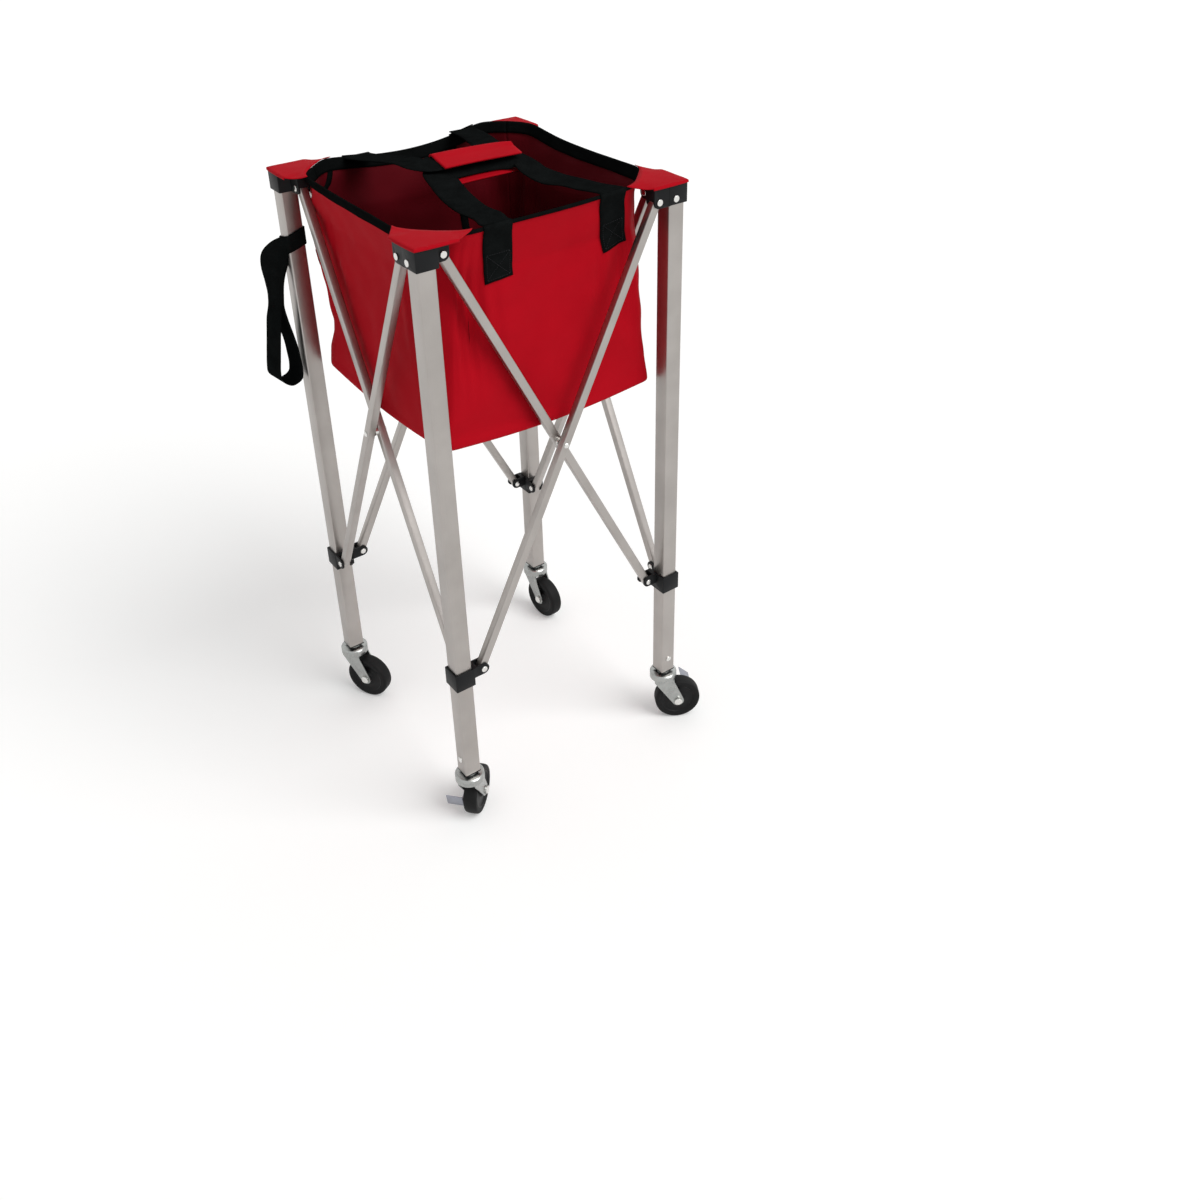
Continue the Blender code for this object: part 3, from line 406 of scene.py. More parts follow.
def cloth_part(grid, thickness, slots=(0, 0), centred=False):
    """A closed sheet: grid is its outer face, or its middle, and its back lies behind it."""
    grid = np.asarray(grid, float)
    rows, columns = grid.shape[:2]
    normal = grid_normals(grid)
    front = grid + normal * (thickness / 2 if centred else 0)
    back = front - normal * thickness
    across = np.linalg.norm(np.diff(grid, axis=1), axis=2)
    along = np.linalg.norm(np.diff(grid, axis=0), axis=2)
    u = np.concatenate([np.zeros((rows, 1)), np.cumsum(across, axis=1)], axis=1)
    u = np.repeat(u.mean(axis=0)[None, :], rows, axis=0)
    v = np.concatenate([np.zeros((1, columns)), np.cumsum(along, axis=0)], axis=0)
    v = np.repeat(v.mean(axis=1)[:, None], columns, axis=1)
    flats = np.dstack([u, v]).reshape(-1, 2)
    points = np.concatenate([front.reshape(-1, 3), back.reshape(-1, 3)])
    half = rows * columns
    faces, kinds = [], []
    for r in range(rows - 1):
        for c in range(columns - 1):
            a = r * columns + c
            quad = [a, a + columns, a + columns + 1, a + 1]
            faces += [quad, [half + i for i in quad[::-1]]]
            kinds += [slots[0], slots[1]]
    rim = list(range(columns))
    rim += [r * columns + columns - 1 for r in range(1, rows)]
    rim += [(rows - 1) * columns + c for c in range(columns - 2, -1, -1)]
    rim += [r * columns for r in range(rows - 2, 0, -1)]
    for a, b in zip(rim, rim[1:] + rim[:1]):
        faces.append([a, b, half + b, half + a])
        kinds.append(slots[0])
    return points, faces, np.concatenate([flats, flats]), kinds


flat_sheet = cloth_part([[(c, -r, 0) for c in range(3)] for r in range(3)], 0.1)
print("faces on a sheet of 3 by 3 points:", len(flat_sheet[1]))

# %% Smooth paths
def smooth_path(keys, steps):
    """A smooth curve through rows of numbers, with some steps from each key to the next."""
    keys = np.asarray(keys, float)
    padded = np.vstack([2 * keys[0] - keys[1], keys, 2 * keys[-1] - keys[-2]])
    rows = []
    for i in range(1, len(padded) - 2):
        a, b, c, d = padded[i - 1:i + 3]
        for k in range(steps):
            t = k / steps
            rows.append(0.5 * (2 * b + (c - a) * t + (2 * a - 5 * b + 4 * c - d) * t ** 2
                               + (3 * b - a - 3 * c + d) * t ** 3))
    rows.append(keys[-1])
    return np.array(rows)


print("a path of 3 keys in 4 steps has %d rows" % len(smooth_path([(0, 0), (1, 0), (1, 1)], 4)))

# %% [markdown]
# ## Rivets
# A blind rivet's head is a low dome with a rolled edge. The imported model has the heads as
# ten-sided stand-ins, some of them part of a moulding, so here every head is a smooth dome. The
# domes that replace a packed rivet keep its shank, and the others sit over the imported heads.

# %% Rivet heads as turnings
HEAD = 4.55 * MM
HEAD_HEIGHT = 1.9 * MM
HEAD_SIDES, HEAD_SINK, SHANK = 28, 0.05 * MM, 0.55 * HEAD
HEAD_SHAPE = [(1.0, 0.0), (1.0, 0.62), (0.975, 0.75), (0.90, 0.85), (0.72, 0.94), (0.40, 0.99),
              (0.0, 1.0)]


def rivet_part(start, end):
    """A rivet through two faces at start and end, with a dome outside each of them."""
    start, end = Vector(start), Vector(end)
    length = (end - start).length
    low = [(HEAD * r, -HEAD_HEIGHT * h) for r, h in reversed(HEAD_SHAPE)]
    high = [(HEAD * r, length + HEAD_HEIGHT * h) for r, h in HEAD_SHAPE]
    profile = low + [(SHANK, 0), (SHANK, length)] + high
    return turned_part(profile, start, end - start, HEAD_SIDES)


def dome_part(face, outwards):
    """One rivet head on a face."""
    profile = [(0.0, -HEAD_SINK), (HEAD, -HEAD_SINK)]
    profile += [(HEAD * r, HEAD_HEIGHT * h) for r, h in HEAD_SHAPE]
    return turned_part(profile, face, outwards, HEAD_SIDES)


print("rivet head: %.1f mm across" % (2 * HEAD / MM))

# %% [markdown]
# ## Where the rivets sit
# All four corners of the frame are the same corner, turned by a quarter each time. So a place is
# written once, beside the south-west leg, and one function turns it to the other legs. Every
# pivot's line runs across one face of its leg, either the leg's own face or its side face.

# %% Places beside a leg
H = 0.187                        # from the middle of the frame to the middle of a leg
TUBE_HALF = 0.0125
PIVOT_OFFSET, PIVOT_TOP_Z, PIVOT_LOW_Z = 0.031, 0.9016, 0.288
INNER_PLANE, OUTER_PLANE = -0.011, 0.006
EAR_HALF = 0.0088
COLLAR_HALF = 0.0155
CAP_FIXING_ALONG = 0.004
FOOT_FIXING_Z = 0.1275
CORNERS = ["sw", "se", "ne", "nw"]
LEG_BODY = {"sw": "frame", "se": "leg_se", "ne": "leg_ne", "nw": "leg_nw"}


def at_leg(number, x, y, z):
    """A point beside a leg. x and y are measured from the leg's middle, as on the south-west one."""
    return Matrix.Rotation(number * math.pi / 2, 3, "Z") @ Vector((x - H, y - H, z))


def on_pivot(number, across, z, side):
    """A place on a pivot's line, which crosses the leg's own face or its side face."""
    x, y = (across, PIVOT_OFFSET) if side else (PIVOT_OFFSET, across)
    return at_leg(number, x, y, z)


def way_from_leg(number, x, y):
    """A direction that is written as on the south-west leg."""
    return at_leg(number, x, y, 0) - at_leg(number, 0, 0, 0)


print("legs: %.0f mm apart" % (2 * H / MM))

# %% Rivet heads on the frame
heads = 0
for number, corner in enumerate(CORNERS):
    face, side_face = "senw"[number], "senw"[number - 1]
    pins = [("cap_rivet_%s_inner" % face, -INNER_PLANE, False),
            ("cap_rivet_%s_outer" % side_face, -OUTER_PLANE, True)]
    for node_name, plane, side in pins:
        ends = [on_pivot(number, across, PIVOT_TOP_Z, side)
                for across in (plane - EAR_HALF, plane + EAR_HALF)]
        piece = place_mesh("pivot_" + node_name, [rivet_part(*ends)], [rivet_steel])
        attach(piece, LEG_BODY[corner])
        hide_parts(node_name)
        heads += 2
    fixing = at_leg(number, -COLLAR_HALF, CAP_FIXING_ALONG, PIVOT_TOP_Z)
    foot = at_leg(number, -TUBE_HALF, 0.0, FOOT_FIXING_Z)
    outwards = way_from_leg(number, -1, 0)
    piece = place_mesh("fixing_rivet_heads_" + corner,
                       [dome_part(fixing, outwards), dome_part(foot, outwards)], [rivet_steel])
    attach(piece, LEG_BODY[corner])
    domes = []
    for plane, side in ((-OUTER_PLANE, False), (-INNER_PLANE, True)):
        for end in (-1, 1):
            spot = on_pivot(number, plane + end * EAR_HALF, PIVOT_LOW_Z, side)
            way = way_from_leg(number, end, 0) if side else way_from_leg(number, 0, end)
            domes.append(dome_part(spot, way))
    piece = place_mesh("slider_pin_heads_" + corner, domes, [rivet_steel])
    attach(piece, "slider_" + corner)
    heads += 6
print("rivet heads:", heads)

# %% [markdown]
# ## Wheels
# A caster wheel is a turning: a rubber tread with rounded shoulders, a shallow step where it
# meets the core, a dished side and a hub that stands a little proud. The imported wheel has 32
# flat sides, so a turning with 96 takes its place.

# %% Wheels
WHEEL_RADIUS, TRAIL, WHEEL_SIDES = 0.0375, 0.024, 96
CASTER_ANGLES = {"sw": 41.0, "se": -30.0, "ne": -85.0, "nw": -60.0}
# Radius and half width in millimetres, and the finish of the step to each: 1 core, 0 tread.
half_wheel = [(0.0, 11.5, 1), (4.4, 11.5, 1), (10.4, 11.5, 1), (11.2, 10.9, 1), (12.2, 8.4, 1),
              (13.4, 7.6, 1), (21.0, 7.5, 1), (25.4, 7.7, 1), (26.6, 8.6, 1), (27.2, 9.5, 1),
              (28.0, 9.8, 1), (28.6, 9.6, 0), (29.4, 10.1, 0), (31.5, 10.5, 0), (34.2, 10.5, 0),
              (35.6, 10.1, 0), (36.7, 9.0, 0), (37.2, 7.4, 0), (37.45, 5.0, 0), (37.5, 2.0, 0)]
wheel_profile = [(r * MM, -a * MM) for r, a, _ in half_wheel]
wheel_profile += [(r * MM, a * MM) for r, a, _ in reversed(half_wheel)]
kinds = [kind for _, _, kind in half_wheel]
wheel_kinds = kinds[1:] + [0] + list(reversed(kinds[1:]))
for number, corner in enumerate(CORNERS):
    heading = math.radians(CASTER_ANGLES[corner])
    leg = at_leg(number, 0, 0, 0)
    middle = leg + Vector((TRAIL * math.cos(heading), TRAIL * math.sin(heading), WHEEL_RADIUS))
    axle = Vector((-math.sin(heading), math.cos(heading), 0))
    turning = turned_part(wheel_profile, middle, axle, WHEEL_SIDES, wheel_kinds)
    wheel = place_mesh("wheel_" + corner, [turning], [rubber_tread, wheel_core])
    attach(wheel, "wheel_" + corner)
    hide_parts("caster_wheel_" + corner)
print("wheel width: %.1f mm" % (2 * max(a for _, a, _ in half_wheel)))

# %% [markdown]
# ## Red polyester cloth
# The bag is coated polyester, woven plain from 0.5 mm yarn. Colour comes from the dyed yarn: each
# yarn is a little lighter on its crown, and the dye varies slowly over the cloth. The coating on
# the back is duller and darker. Its two colours are also darker with painted shade, because they
# are set to how the shaded inside of the bag looks. The weave is drawn at 1.2 mm, because the real
# one is finer than a pixel. It is made of two crossed sine waves, one for each direction of yarn.

# %% Woven cloth
YARN = 1.2 * MM


def woven_cloth(name, dark, light, smooth, dull, relief_height):
    """Plain weave over the flat cloth's own map."""
    material, tree, shader = start_material(name, light, dull, IOR=1.45, Specular_IOR_Level=0.06,
                                            Sheen_Weight=0.02, Sheen_Roughness=0.4)
    flat = add_node(tree, "ShaderNodeUVMap", uv_map="flat cloth").outputs[0]
    place = add_node(tree, "ShaderNodeTexCoord").outputs["Object"]
    spread = add_node(tree, "ShaderNodeSeparateXYZ", {0: flat})
    waves = []
    for axis in ("X", "Y"):
        turns = add_node(tree, "ShaderNodeMath", {0: spread.outputs[axis], 1: math.pi / YARN},
                         operation="MULTIPLY")
        waves.append(add_node(tree, "ShaderNodeMath", {0: turns.outputs[0]}, operation="SINE"))
    crossed = add_node(tree, "ShaderNodeMath", {0: waves[0].outputs[0], 1: waves[1].outputs[0]},
                       operation="MULTIPLY")
    crown = add_node(tree, "ShaderNodeMath", {0: crossed.outputs[0], 1: 0.5, 2: 0.5},
                     operation="MULTIPLY_ADD")
    slow = add_node(tree, "ShaderNodeTexNoise",
                    {"Vector": place, "Scale": 14.0, "Detail": 4.0, "Roughness": 0.55})
    slub = add_node(tree, "ShaderNodeTexNoise",
                    {"Vector": place, "Scale": 420.0, "Detail": 2.0})
    tone = add_node(tree, "ShaderNodeMath", {0: slow.outputs["Fac"], 1: 0.55}, operation="MULTIPLY")
    for pattern, share in ((crown.outputs[0], 0.25), (slub.outputs["Fac"], 0.2)):
        tone = add_node(tree, "ShaderNodeMath", {0: pattern, 1: share, 2: tone.outputs[0]},
                        operation="MULTIPLY_ADD")
    relief = add_node(tree, "ShaderNodeBump",
                      {"Height": crown.outputs[0], "Strength": 0.4, "Distance": relief_height})
    crumple = add_node(tree, "ShaderNodeTexNoise",
                       {"Vector": place, "Scale": 30.0, "Detail": 5.0, "Roughness": 0.6})
    relief = add_node(tree, "ShaderNodeBump",
                      {"Height": crumple.outputs["Fac"], "Strength": 0.35, "Distance": 1.2 * MM,
                       "Normal": relief.outputs["Normal"]})
    drive_shader(tree, shader, tone.outputs[0], (dark, light),
                 slub.outputs["Fac"], (smooth, dull), relief)
    return material


red_cloth = woven_cloth("woven_red_polyester", "#9C0413", "#BA0A1D", 0.62, 0.80, 0.10 * MM)
# The coated back's colours are darker than the coating itself: they hold painted shade of the bag's
# inside.
red_coating_with_painted_shade = woven_cloth("coated_back_of_red_polyester_with_painted_shade", "#4A060E", "#640B16", 0.55, 0.72,
                          0.05 * MM)
print("yarn as drawn: %.1f mm" % (YARN / MM))

# %% [markdown]
# ## Black webbing and binding tape
# The handles and the strap are 40 mm polypropylene webbing. Its thick yarns lie in rows across
# the band, offset like bricks, which gives it a ribbed and slightly glossy look. The tape round
# the bag's rim is thin polyester grosgrain with fine ribs across it. Both patterns are bricks on
# the flat map: 2.6 by 1.3 mm for the webbing and 8 by 0.9 mm for the tape. The handles are sewn
# on with bonded nylon thread, which is a little glossier than the yarns.

# %% Webbing and binding
def ribbed_band(name, dark, light, brick_long, brick_high, smooth, dull, relief_height):
    """Rows of yarn across a band, each row shifted by half a yarn."""
    material, tree, shader = start_material(name, dark, dull, IOR=1.49, Specular_IOR_Level=0.0)
    flat = add_node(tree, "ShaderNodeUVMap", uv_map="flat cloth").outputs[0]
    rows = add_node(tree, "ShaderNodeTexBrick",
                    {"Vector": flat, "Color1": linear("#D0D0D0"), "Color2": linear("#FFFFFF"),
                     "Mortar": linear("#000000"), "Scale": 1.0, "Mortar Size": brick_high * 0.14,
                     "Mortar Smooth": 1.0, "Brick Width": brick_long, "Row Height": brick_high})
    place = add_node(tree, "ShaderNodeTexCoord").outputs["Object"]
    wear = add_node(tree, "ShaderNodeTexNoise",
                    {"Vector": place, "Scale": 55.0, "Detail": 4.0})
    tone = add_node(tree, "ShaderNodeMath", {0: rows.outputs["Color"], 1: wear.outputs["Fac"]},
                    operation="MULTIPLY")
    relief = add_node(tree, "ShaderNodeBump",
                      {"Height": rows.outputs["Color"], "Strength": 0.6, "Distance": relief_height})
    drive_shader(tree, shader, tone.outputs[0], (dark, light),
                 wear.outputs["Fac"], (smooth, dull), relief)
    return material


webbing = ribbed_band("polypropylene_webbing", "#0B0C0C", "#1D2020", 2.6 * MM, 1.3 * MM,
                      0.48, 0.66, 0.25 * MM)
binding_tape = ribbed_band("grosgrain_binding_tape", "#0A0B0B", "#171919", 8 * MM, 0.9 * MM,
                           0.55, 0.75, 0.12 * MM)
print("band finishes:", webbing.name, binding_tape.name)

# %% Sewing thread
black_thread, tree, shader = start_material("black_bonded_nylon_thread", "#1B1C1F", 0.42, IOR=1.53,
                                            Specular_IOR_Level=0.20)
place = add_node(tree, "ShaderNodeTexCoord").outputs["Object"]
twist = add_node(tree, "ShaderNodeTexNoise", {"Vector": place, "Scale": 1500.0, "Detail": 1.0})
drive_shader(tree, shader, twist.outputs["Fac"], ("#141518", "#2A2C30"),
             twist.outputs["Fac"], (0.34, 0.52))
print("thread:", black_thread.name)

# %% [markdown]
# ## The bag's wall as one loft
# The bag hangs from its four corners, so its walls are straight and flat where they are tight,
# and soft near the corners, where spare cloth falls in folds. It is lofted: an eight-sided
# outline at every height, rounded as cloth is, with folds and sags added across the surface.
# The rim dips where a handle pulls on it, and the bottom hem hangs a little lower in the middle
# of each side. The loft is cut into four at the corners, because each part rides on another leg
# when the frame folds.

# %% Outline of the bag at each height
RIM_Z, FLARE_Z = 0.9238, 0.860
RIM_INSET, WALL_INSET = 0.004, 0.0195
BOTTOM_Z = 0.6165
CORNER_CUT = {
    "se": ((0.62, 22), (0.71, 31), (0.80, 40), (0.84, 44), (0.865, 48), (0.893, 54), (0.924, 58)),
    "ne": ((0.62, 25), (0.71, 36), (0.80, 44), (0.84, 47), (0.865, 50), (0.893, 54), (0.924, 58)),
    "nw": ((0.62, 25), (0.635, 26), (0.65, 29), (0.68, 41), (0.70, 44), (0.72, 39), (0.74, 32),
           (0.77, 26), (0.79, 23), (0.82, 21), (0.84, 22), (0.865, 27), (0.88, 37), (0.893, 49),
           (0.908, 56), (0.924, 57)),
    "sw": ((0.62, 28), (0.71, 42), (0.80, 50), (0.865, 54), (0.893, 57), (0.924, 62)),
}
FACET_STEPS, WALL_STEPS, HEIGHT_STEPS = 16, 64, 58
AROUND = 4 * (FACET_STEPS + WALL_STEPS)


def bag_outline(z):
    """The eight-sided outline at a height, from the front face's right end, before rounding."""
    t = min(1.0, (RIM_Z - z) / (RIM_Z - FLARE_Z))
    inset = RIM_INSET + t * (WALL_INSET - RIM_INSET)
    corners = []
    for k, corner in enumerate(("se", "ne", "nw", "sw")):
        levels, cuts = zip(*CORNER_CUT[corner])
        cut = float(np.interp(z, levels, cuts)) * MM
        turn = Matrix.Rotation(k * math.pi / 2, 2)
        corners.append(turn @ Vector((H - cut, inset - H)))
        corners.append(turn @ Vector((H - inset, cut - H)))
    ring = []
    for i in range(8):
        steps = WALL_STEPS if i % 2 else FACET_STEPS
        a, b = corners[i], corners[(i + 1) % 8]
        ring += [a.lerp(b, k / steps) for k in range(steps)]
    return np.array(ring)


def rounded(ring, spread, reach=14):
    """Rounds an outline's corners by averaging each point with its neighbours."""
    weights = np.exp(-0.5 * (np.arange(-reach, reach + 1) / spread) ** 2)
    weights /= weights.sum()
    return sum(w * np.roll(ring, k, axis=0) for k, w in zip(range(-reach, reach + 1), weights))


print("points round the bag:", AROUND)

# %% [markdown]
# ## Rim and hem
# The rim isn't level: each handle pulls its wall's middle down, the near corner is slack, and
# the far one is pulled up. The bottom hem rises towards the corners, where the cloth is tight.
# Each of these is a smooth bump along the columns of the loft, with its height in metres.

# %% Heights of the rim and the hem
FACET_MIDDLES = {"se": 8, "ne": 88, "nw": 168, "sw": 248}
WALL_START = {"e": 16, "n": 96, "w": 176, "s": 256}
RIM_DIP = {"s": 0.0035, "e": 0.0020, "n": 0.0105, "w": 0.0030}
SLACK_CORNER_DIP, SLACK_CORNER_REACH = 0.0060, 15
HIGH_CORNER_RISE, HIGH_CORNER_REACH = 0.0085, 12
PARTS = {"s": ("sw", "se"), "e": ("se", "ne"), "n": ("ne", "nw"), "w": ("nw", "sw")}
HEM_RISE = ((0.009, 14), (0.003, 30))
columns = np.arange(AROUND)


def along_wall(face):
    """How far each column is along a wall, from 0 to 1, or outside that range elsewhere."""
    return (columns - WALL_START[face]) / WALL_STEPS


def near_corner(reach):
    """1 at the middle of the nearest corner facet, falling to 0 over some columns."""
    gap = np.min([np.minimum(abs(columns - m), AROUND - abs(columns - m))
                  for m in FACET_MIDDLES.values()], axis=0)
    return np.exp(-0.5 * (gap / reach) ** 2)


rim_drop = np.zeros(AROUND)
for face, dip in RIM_DIP.items():
    t = np.clip(along_wall(face), 0, 1)
    rim_drop += dip * np.sin(math.pi * t) ** 1.3
for corner, dip, reach in (("sw", SLACK_CORNER_DIP, SLACK_CORNER_REACH),
                           ("ne", -HIGH_CORNER_RISE, HIGH_CORNER_REACH)):
    rim_drop += dip * np.exp(-0.5 * ((columns - FACET_MIDDLES[corner]) / reach) ** 2)
rim_heights = RIM_Z - rim_drop
hem_heights = BOTTOM_Z + sum(rise * near_corner(reach) for rise, reach in HEM_RISE)
print("the rim goes up and down by %.0f mm" % (np.ptp(rim_heights) / MM))

# %% [markdown]
# ## Folds
# Between the tight corners and the middle of a wall the spare cloth falls inwards. Three kinds of
# fold show: a broad hollow beside each corner, a few narrow pleats that fan out from it, and one
# crease that runs down to the hem. A slow and a fine noise keep the rest from looking like a
# board. Each fold is a depth in metres that fades softly away from its middle.

# %% Depth of the folds
REST_DEPTH, BROAD_DEPTH, BROAD_SIZE, FINE_DEPTH, FINE_SIZE = 0.0020, 0.0036, 0.085, 0.0022, 0.034
BELLY_DEPTH, BELLY_Z, BELLY_TALL = 0.0035, 0.775, 0.075
GATHER = {"se": 0.0068, "ne": 0.0068, "nw": 0.0015, "sw": 0.0060}
GATHER_AT, GATHER_WIDE, GATHER_Z, GATHER_TALL = 0.09, 0.055, 0.805, 0.062
PLEATS = {"ssw": 0.0062, "sse": 0.0020, "ese": 0.0025, "ene": 0.0025, "nne": 0.0025, "nnw": 0.0020,
          "wnw": 0.0010, "wsw": 0.0042}
PLEAT_IN, PLEAT_SLOPE, PLEAT_PITCH, PLEAT_FADE = 0.010, 0.10, 0.021, 0.034
PLEAT_Z, PLEAT_TALL = 0.80, 0.075
CREASE_DEPTH, CREASE_AT, CREASE_SLOPE, CREASE_WIDE = 0.0020, 0.20, 0.35, 0.022
CREASE_Z, CREASE_TALL = 0.80, 0.05


def soft(x, y, z, size, seed):
    """Smooth noise about zero, with waves of some size in metres."""
    return noise.noise(Vector((x / size + seed, y / size - seed, z / size + 2 * seed)))


def bump(value, middle, reach):
    """1 where the value is at the middle, and less the further it is off."""
    return math.exp(-((value - middle) / reach) ** 2)


def fold_depth(column, point, z):
    """How far the cloth lies inside its flat place, in metres, at one spot."""
    x, y = point
    depth = (REST_DEPTH + BROAD_DEPTH * soft(x, y, z * 0.6, BROAD_SIZE, 3.1)
             + FINE_DEPTH * soft(x, y, z, FINE_SIZE, 7.7))
    for face in "senw":
        t = (column - WALL_START[face]) / WALL_STEPS
        if not 0 <= t <= 1:
            continue
        depth += BELLY_DEPTH * math.sin(math.pi * t) * bump(z, BELLY_Z, BELLY_TALL)
        for edge, corner in zip((t, 1 - t), PARTS[face]):
            gather = bump(edge, GATHER_AT, GATHER_WIDE) * bump(z, GATHER_Z, GATHER_TALL)
            depth += GATHER[corner] * gather * (1 + 0.4 * soft(x, y, z, 0.06, 1.3))
            across = edge * 2 * H - PLEAT_IN - PLEAT_SLOPE * (RIM_Z - z)
            wave = 0.5 - 0.5 * math.cos(across * 2 * math.pi / PLEAT_PITCH)
            hang = PLEATS[face + corner] * bump(z, PLEAT_Z, PLEAT_TALL)
            depth += hang * wave * bump(across, 0, PLEAT_FADE)
            line = CREASE_AT + CREASE_SLOPE * (FLARE_Z - z)
            crease = bump(edge, line, CREASE_WIDE) * bump(z, CREASE_Z, CREASE_TALL)
            depth += CREASE_DEPTH * crease
    return max(0.0, depth)


print("deepest corner hollow: %.1f mm" % (max(GATHER.values()) / MM))

# %% Lofting the wall
CALM_TOP, CALM_BOTTOM = 0.07, 0.05    # shares of the height over which the folds begin and end
wall = np.zeros((HEIGHT_STEPS + 1, AROUND, 3))
wall_outwards = np.zeros((HEIGHT_STEPS + 1, AROUND, 2))
for row in range(HEIGHT_STEPS + 1):
    share = row / HEIGHT_STEPS
    level = RIM_Z + share * (BOTTOM_Z - RIM_Z)
    plan = rounded(bag_outline(level), 2.8 - 0.8 * share)
    tangent = np.roll(plan, -1, axis=0) - np.roll(plan, 1, axis=0)
    outwards = np.stack([tangent[:, 1], -tangent[:, 0]], axis=1)
    outwards /= np.linalg.norm(outwards, axis=1, keepdims=True)
    heights = rim_heights + share * (hem_heights - rim_heights)
    calm = min(1.0, share / CALM_TOP) * min(1.0, (1 - share) / CALM_BOTTOM)
    depth = np.array([fold_depth(c, plan[c], heights[c]) for c in columns]) * calm
    wall[row, :, :2] = plan - outwards * depth[:, None]
    wall[row, :, 2] = heights
    wall_outwards[row] = outwards
print("bag: %.0f mm deep, %.0f mm across" % ((wall[0, :, 2].max() - wall[-1, :, 2].min()) / MM,
                                            np.ptp(wall[:, :, 0]) / MM))

# %% [markdown]
# ## The hem under the wall, and the four parts
# At the bottom the cloth turns inwards round a small bend, and the floor is sewn to that lip. The
# rows for the bend and the lip are added below the loft. Then each part takes its columns.

# %% Hem and lip
CLOTH, LIP_DROP = 1.0 * MM, 5.0 * MM
LIP = ((0.6, 2.4), (1.8, 4.0), (4.0, 4.9), (8.0, 5.0), (12.0, 4.6))
lip_rows = []
for inwards, down in LIP:
    row = wall[-1].copy()
    row[:, :2] -= wall_outwards[-1] * inwards * MM
    row[:, 2] -= down * MM - LIP_DROP
    lip_rows.append(row)
hem_lift = np.zeros_like(wall)
hem_lift[..., 2] = np.linspace(0, 1, HEIGHT_STEPS + 1)[:, None] ** 8 * LIP_DROP
full_wall = np.concatenate([wall + hem_lift, np.array(lip_rows)])
print("rows from the rim to the lip:", len(full_wall))

# %% How cloth rides and folds
PART_BODY = {"s": "frame", "e": "leg_se", "n": "leg_nw", "w": "frame"}
PART_NODE = {"s": "bag_front", "e": "bag_east", "n": "bag_north", "w": "bag_front"}
FOLD_KEEP = 0.2
WALL_PLANE = H - WALL_INSET
FOLD_X = {"axis": (1, 0, 0), "anchor": (-WALL_PLANE, 0, 0), "keep": FOLD_KEEP}
FOLD_Y = {"axis": (0, 1, 0), "anchor": (0, -WALL_PLANE, 0), "keep": FOLD_KEEP}
WALL_FOLD = {"s": FOLD_X, "n": FOLD_X, "e": FOLD_Y, "w": FOLD_Y}


def part_columns(face):
    """The loft's columns for one part, from one corner's middle to the next."""
    first, last = (FACET_MIDDLES[c] for c in PARTS[face])
    count = (last - first) % AROUND
    return [(first + k) % AROUND for k in range(count + 1)]


def sheet_area(grid):
    """A grid's own area in square metres."""
    a = grid[1:, :-1] - grid[:-1, :-1]
    b = grid[:-1, 1:] - grid[:-1, :-1]
    return float(np.linalg.norm(np.cross(a, b), axis=2).sum())


def soft_piece(name, parts, materials, body, fold=None, stands_for=()):
    """Places a cloth piece, ties it to its body, and gives it its own mesh when a fold is given."""
    piece = place_mesh(name, parts, materials)
    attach(piece, body)
    if fold:
        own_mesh(piece)
    if stands_for:
        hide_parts(*stands_for)
    return piece


print("cloth keeps %.0f%% of its width when the frame is folded" % (FOLD_KEEP * 100))

# %% Bag wall parts
for face in PARTS:
    grid = full_wall[:, part_columns(face)]
    piece = soft_piece("bag_wall_" + face, [cloth_part(grid, CLOTH, (0, 1))],
                       [red_cloth, red_coating_with_painted_shade], PART_BODY[face],
                       WALL_FOLD[face], [PART_NODE[face]])

# %% [markdown]
# ## Binding tape round the rim
# The raw edge of the cloth is wrapped in black tape, which shows as a thin line outside and as a
# broad band inside, because the rim's hem is folded inwards there. The tape follows the same
# loft: its cross line starts outside, goes over the edge and down the inside.

# %% Binding tape
TAPE = 0.9 * MM
TAPE_OUTSIDE = {"s": 2.8, "e": 6.0, "n": 6.0, "w": 12.0}    # how far down it shows on each wall
OUTSIDE_ROWS, TOP_ROW = 4, 6
# Out from the cloth and down from the rim, in millimetres, from outside over the edge to inside.
TAPE_LINE = [(1.15, 1.0), (1.3, 0.68), (1.3, 0.32), (1.25, 0.04), (0.7, -1.0), (-0.5, -1.45),
             (-1.7, -1.0), (-2.25, 0.2), (-2.3, 2.5), (-2.4, 5.0), (-2.5, 8.0), (-2.5, 11.0),
             (-2.4, 14.0)]
TAPE_WAVE = 0.3


def wall_spot(column, drop):
    """The outer face of the cloth at a column, some way below the rim, and its way outwards."""
    row = min(HEIGHT_STEPS - 1.001, max(0.0, drop / (RIM_Z - BOTTOM_Z) * HEIGHT_STEPS))
    low = int(row)
    t = row - low
    spot = wall[low, column] * (1 - t) + wall[low + 1, column] * t
    spot[2] = wall[0, column, 2] - drop
    return spot, wall_outwards[low, column]


for face in PARTS:
    grid = np.zeros((len(TAPE_LINE), len(part_columns(face)), 3))
    for r, (out, down) in enumerate(TAPE_LINE):
        down *= TAPE_OUTSIDE[face] if r < OUTSIDE_ROWS else 1.0
        for c, column in enumerate(part_columns(face)):
            spot, way = wall_spot(column, down * MM)
            wave = TAPE_WAVE * noise.noise(Vector((spot[0] * 40, spot[1] * 40, down * 0.2)))
            spot[:2] += way * (out + wave) * MM
            grid[r, c] = spot
    tape = soft_piece("rim_binding_" + face, [cloth_part(grid, TAPE, centred=True)], [binding_tape],
                      PART_BODY[face], WALL_FOLD[face])

# %% [markdown]
# ## Seam tapes inside
# The front and back walls are sewn to the side walls with black tape, which runs down inside the
# bag near its corners. Each tape is 10 mm wide, and follows the loft's columns there.

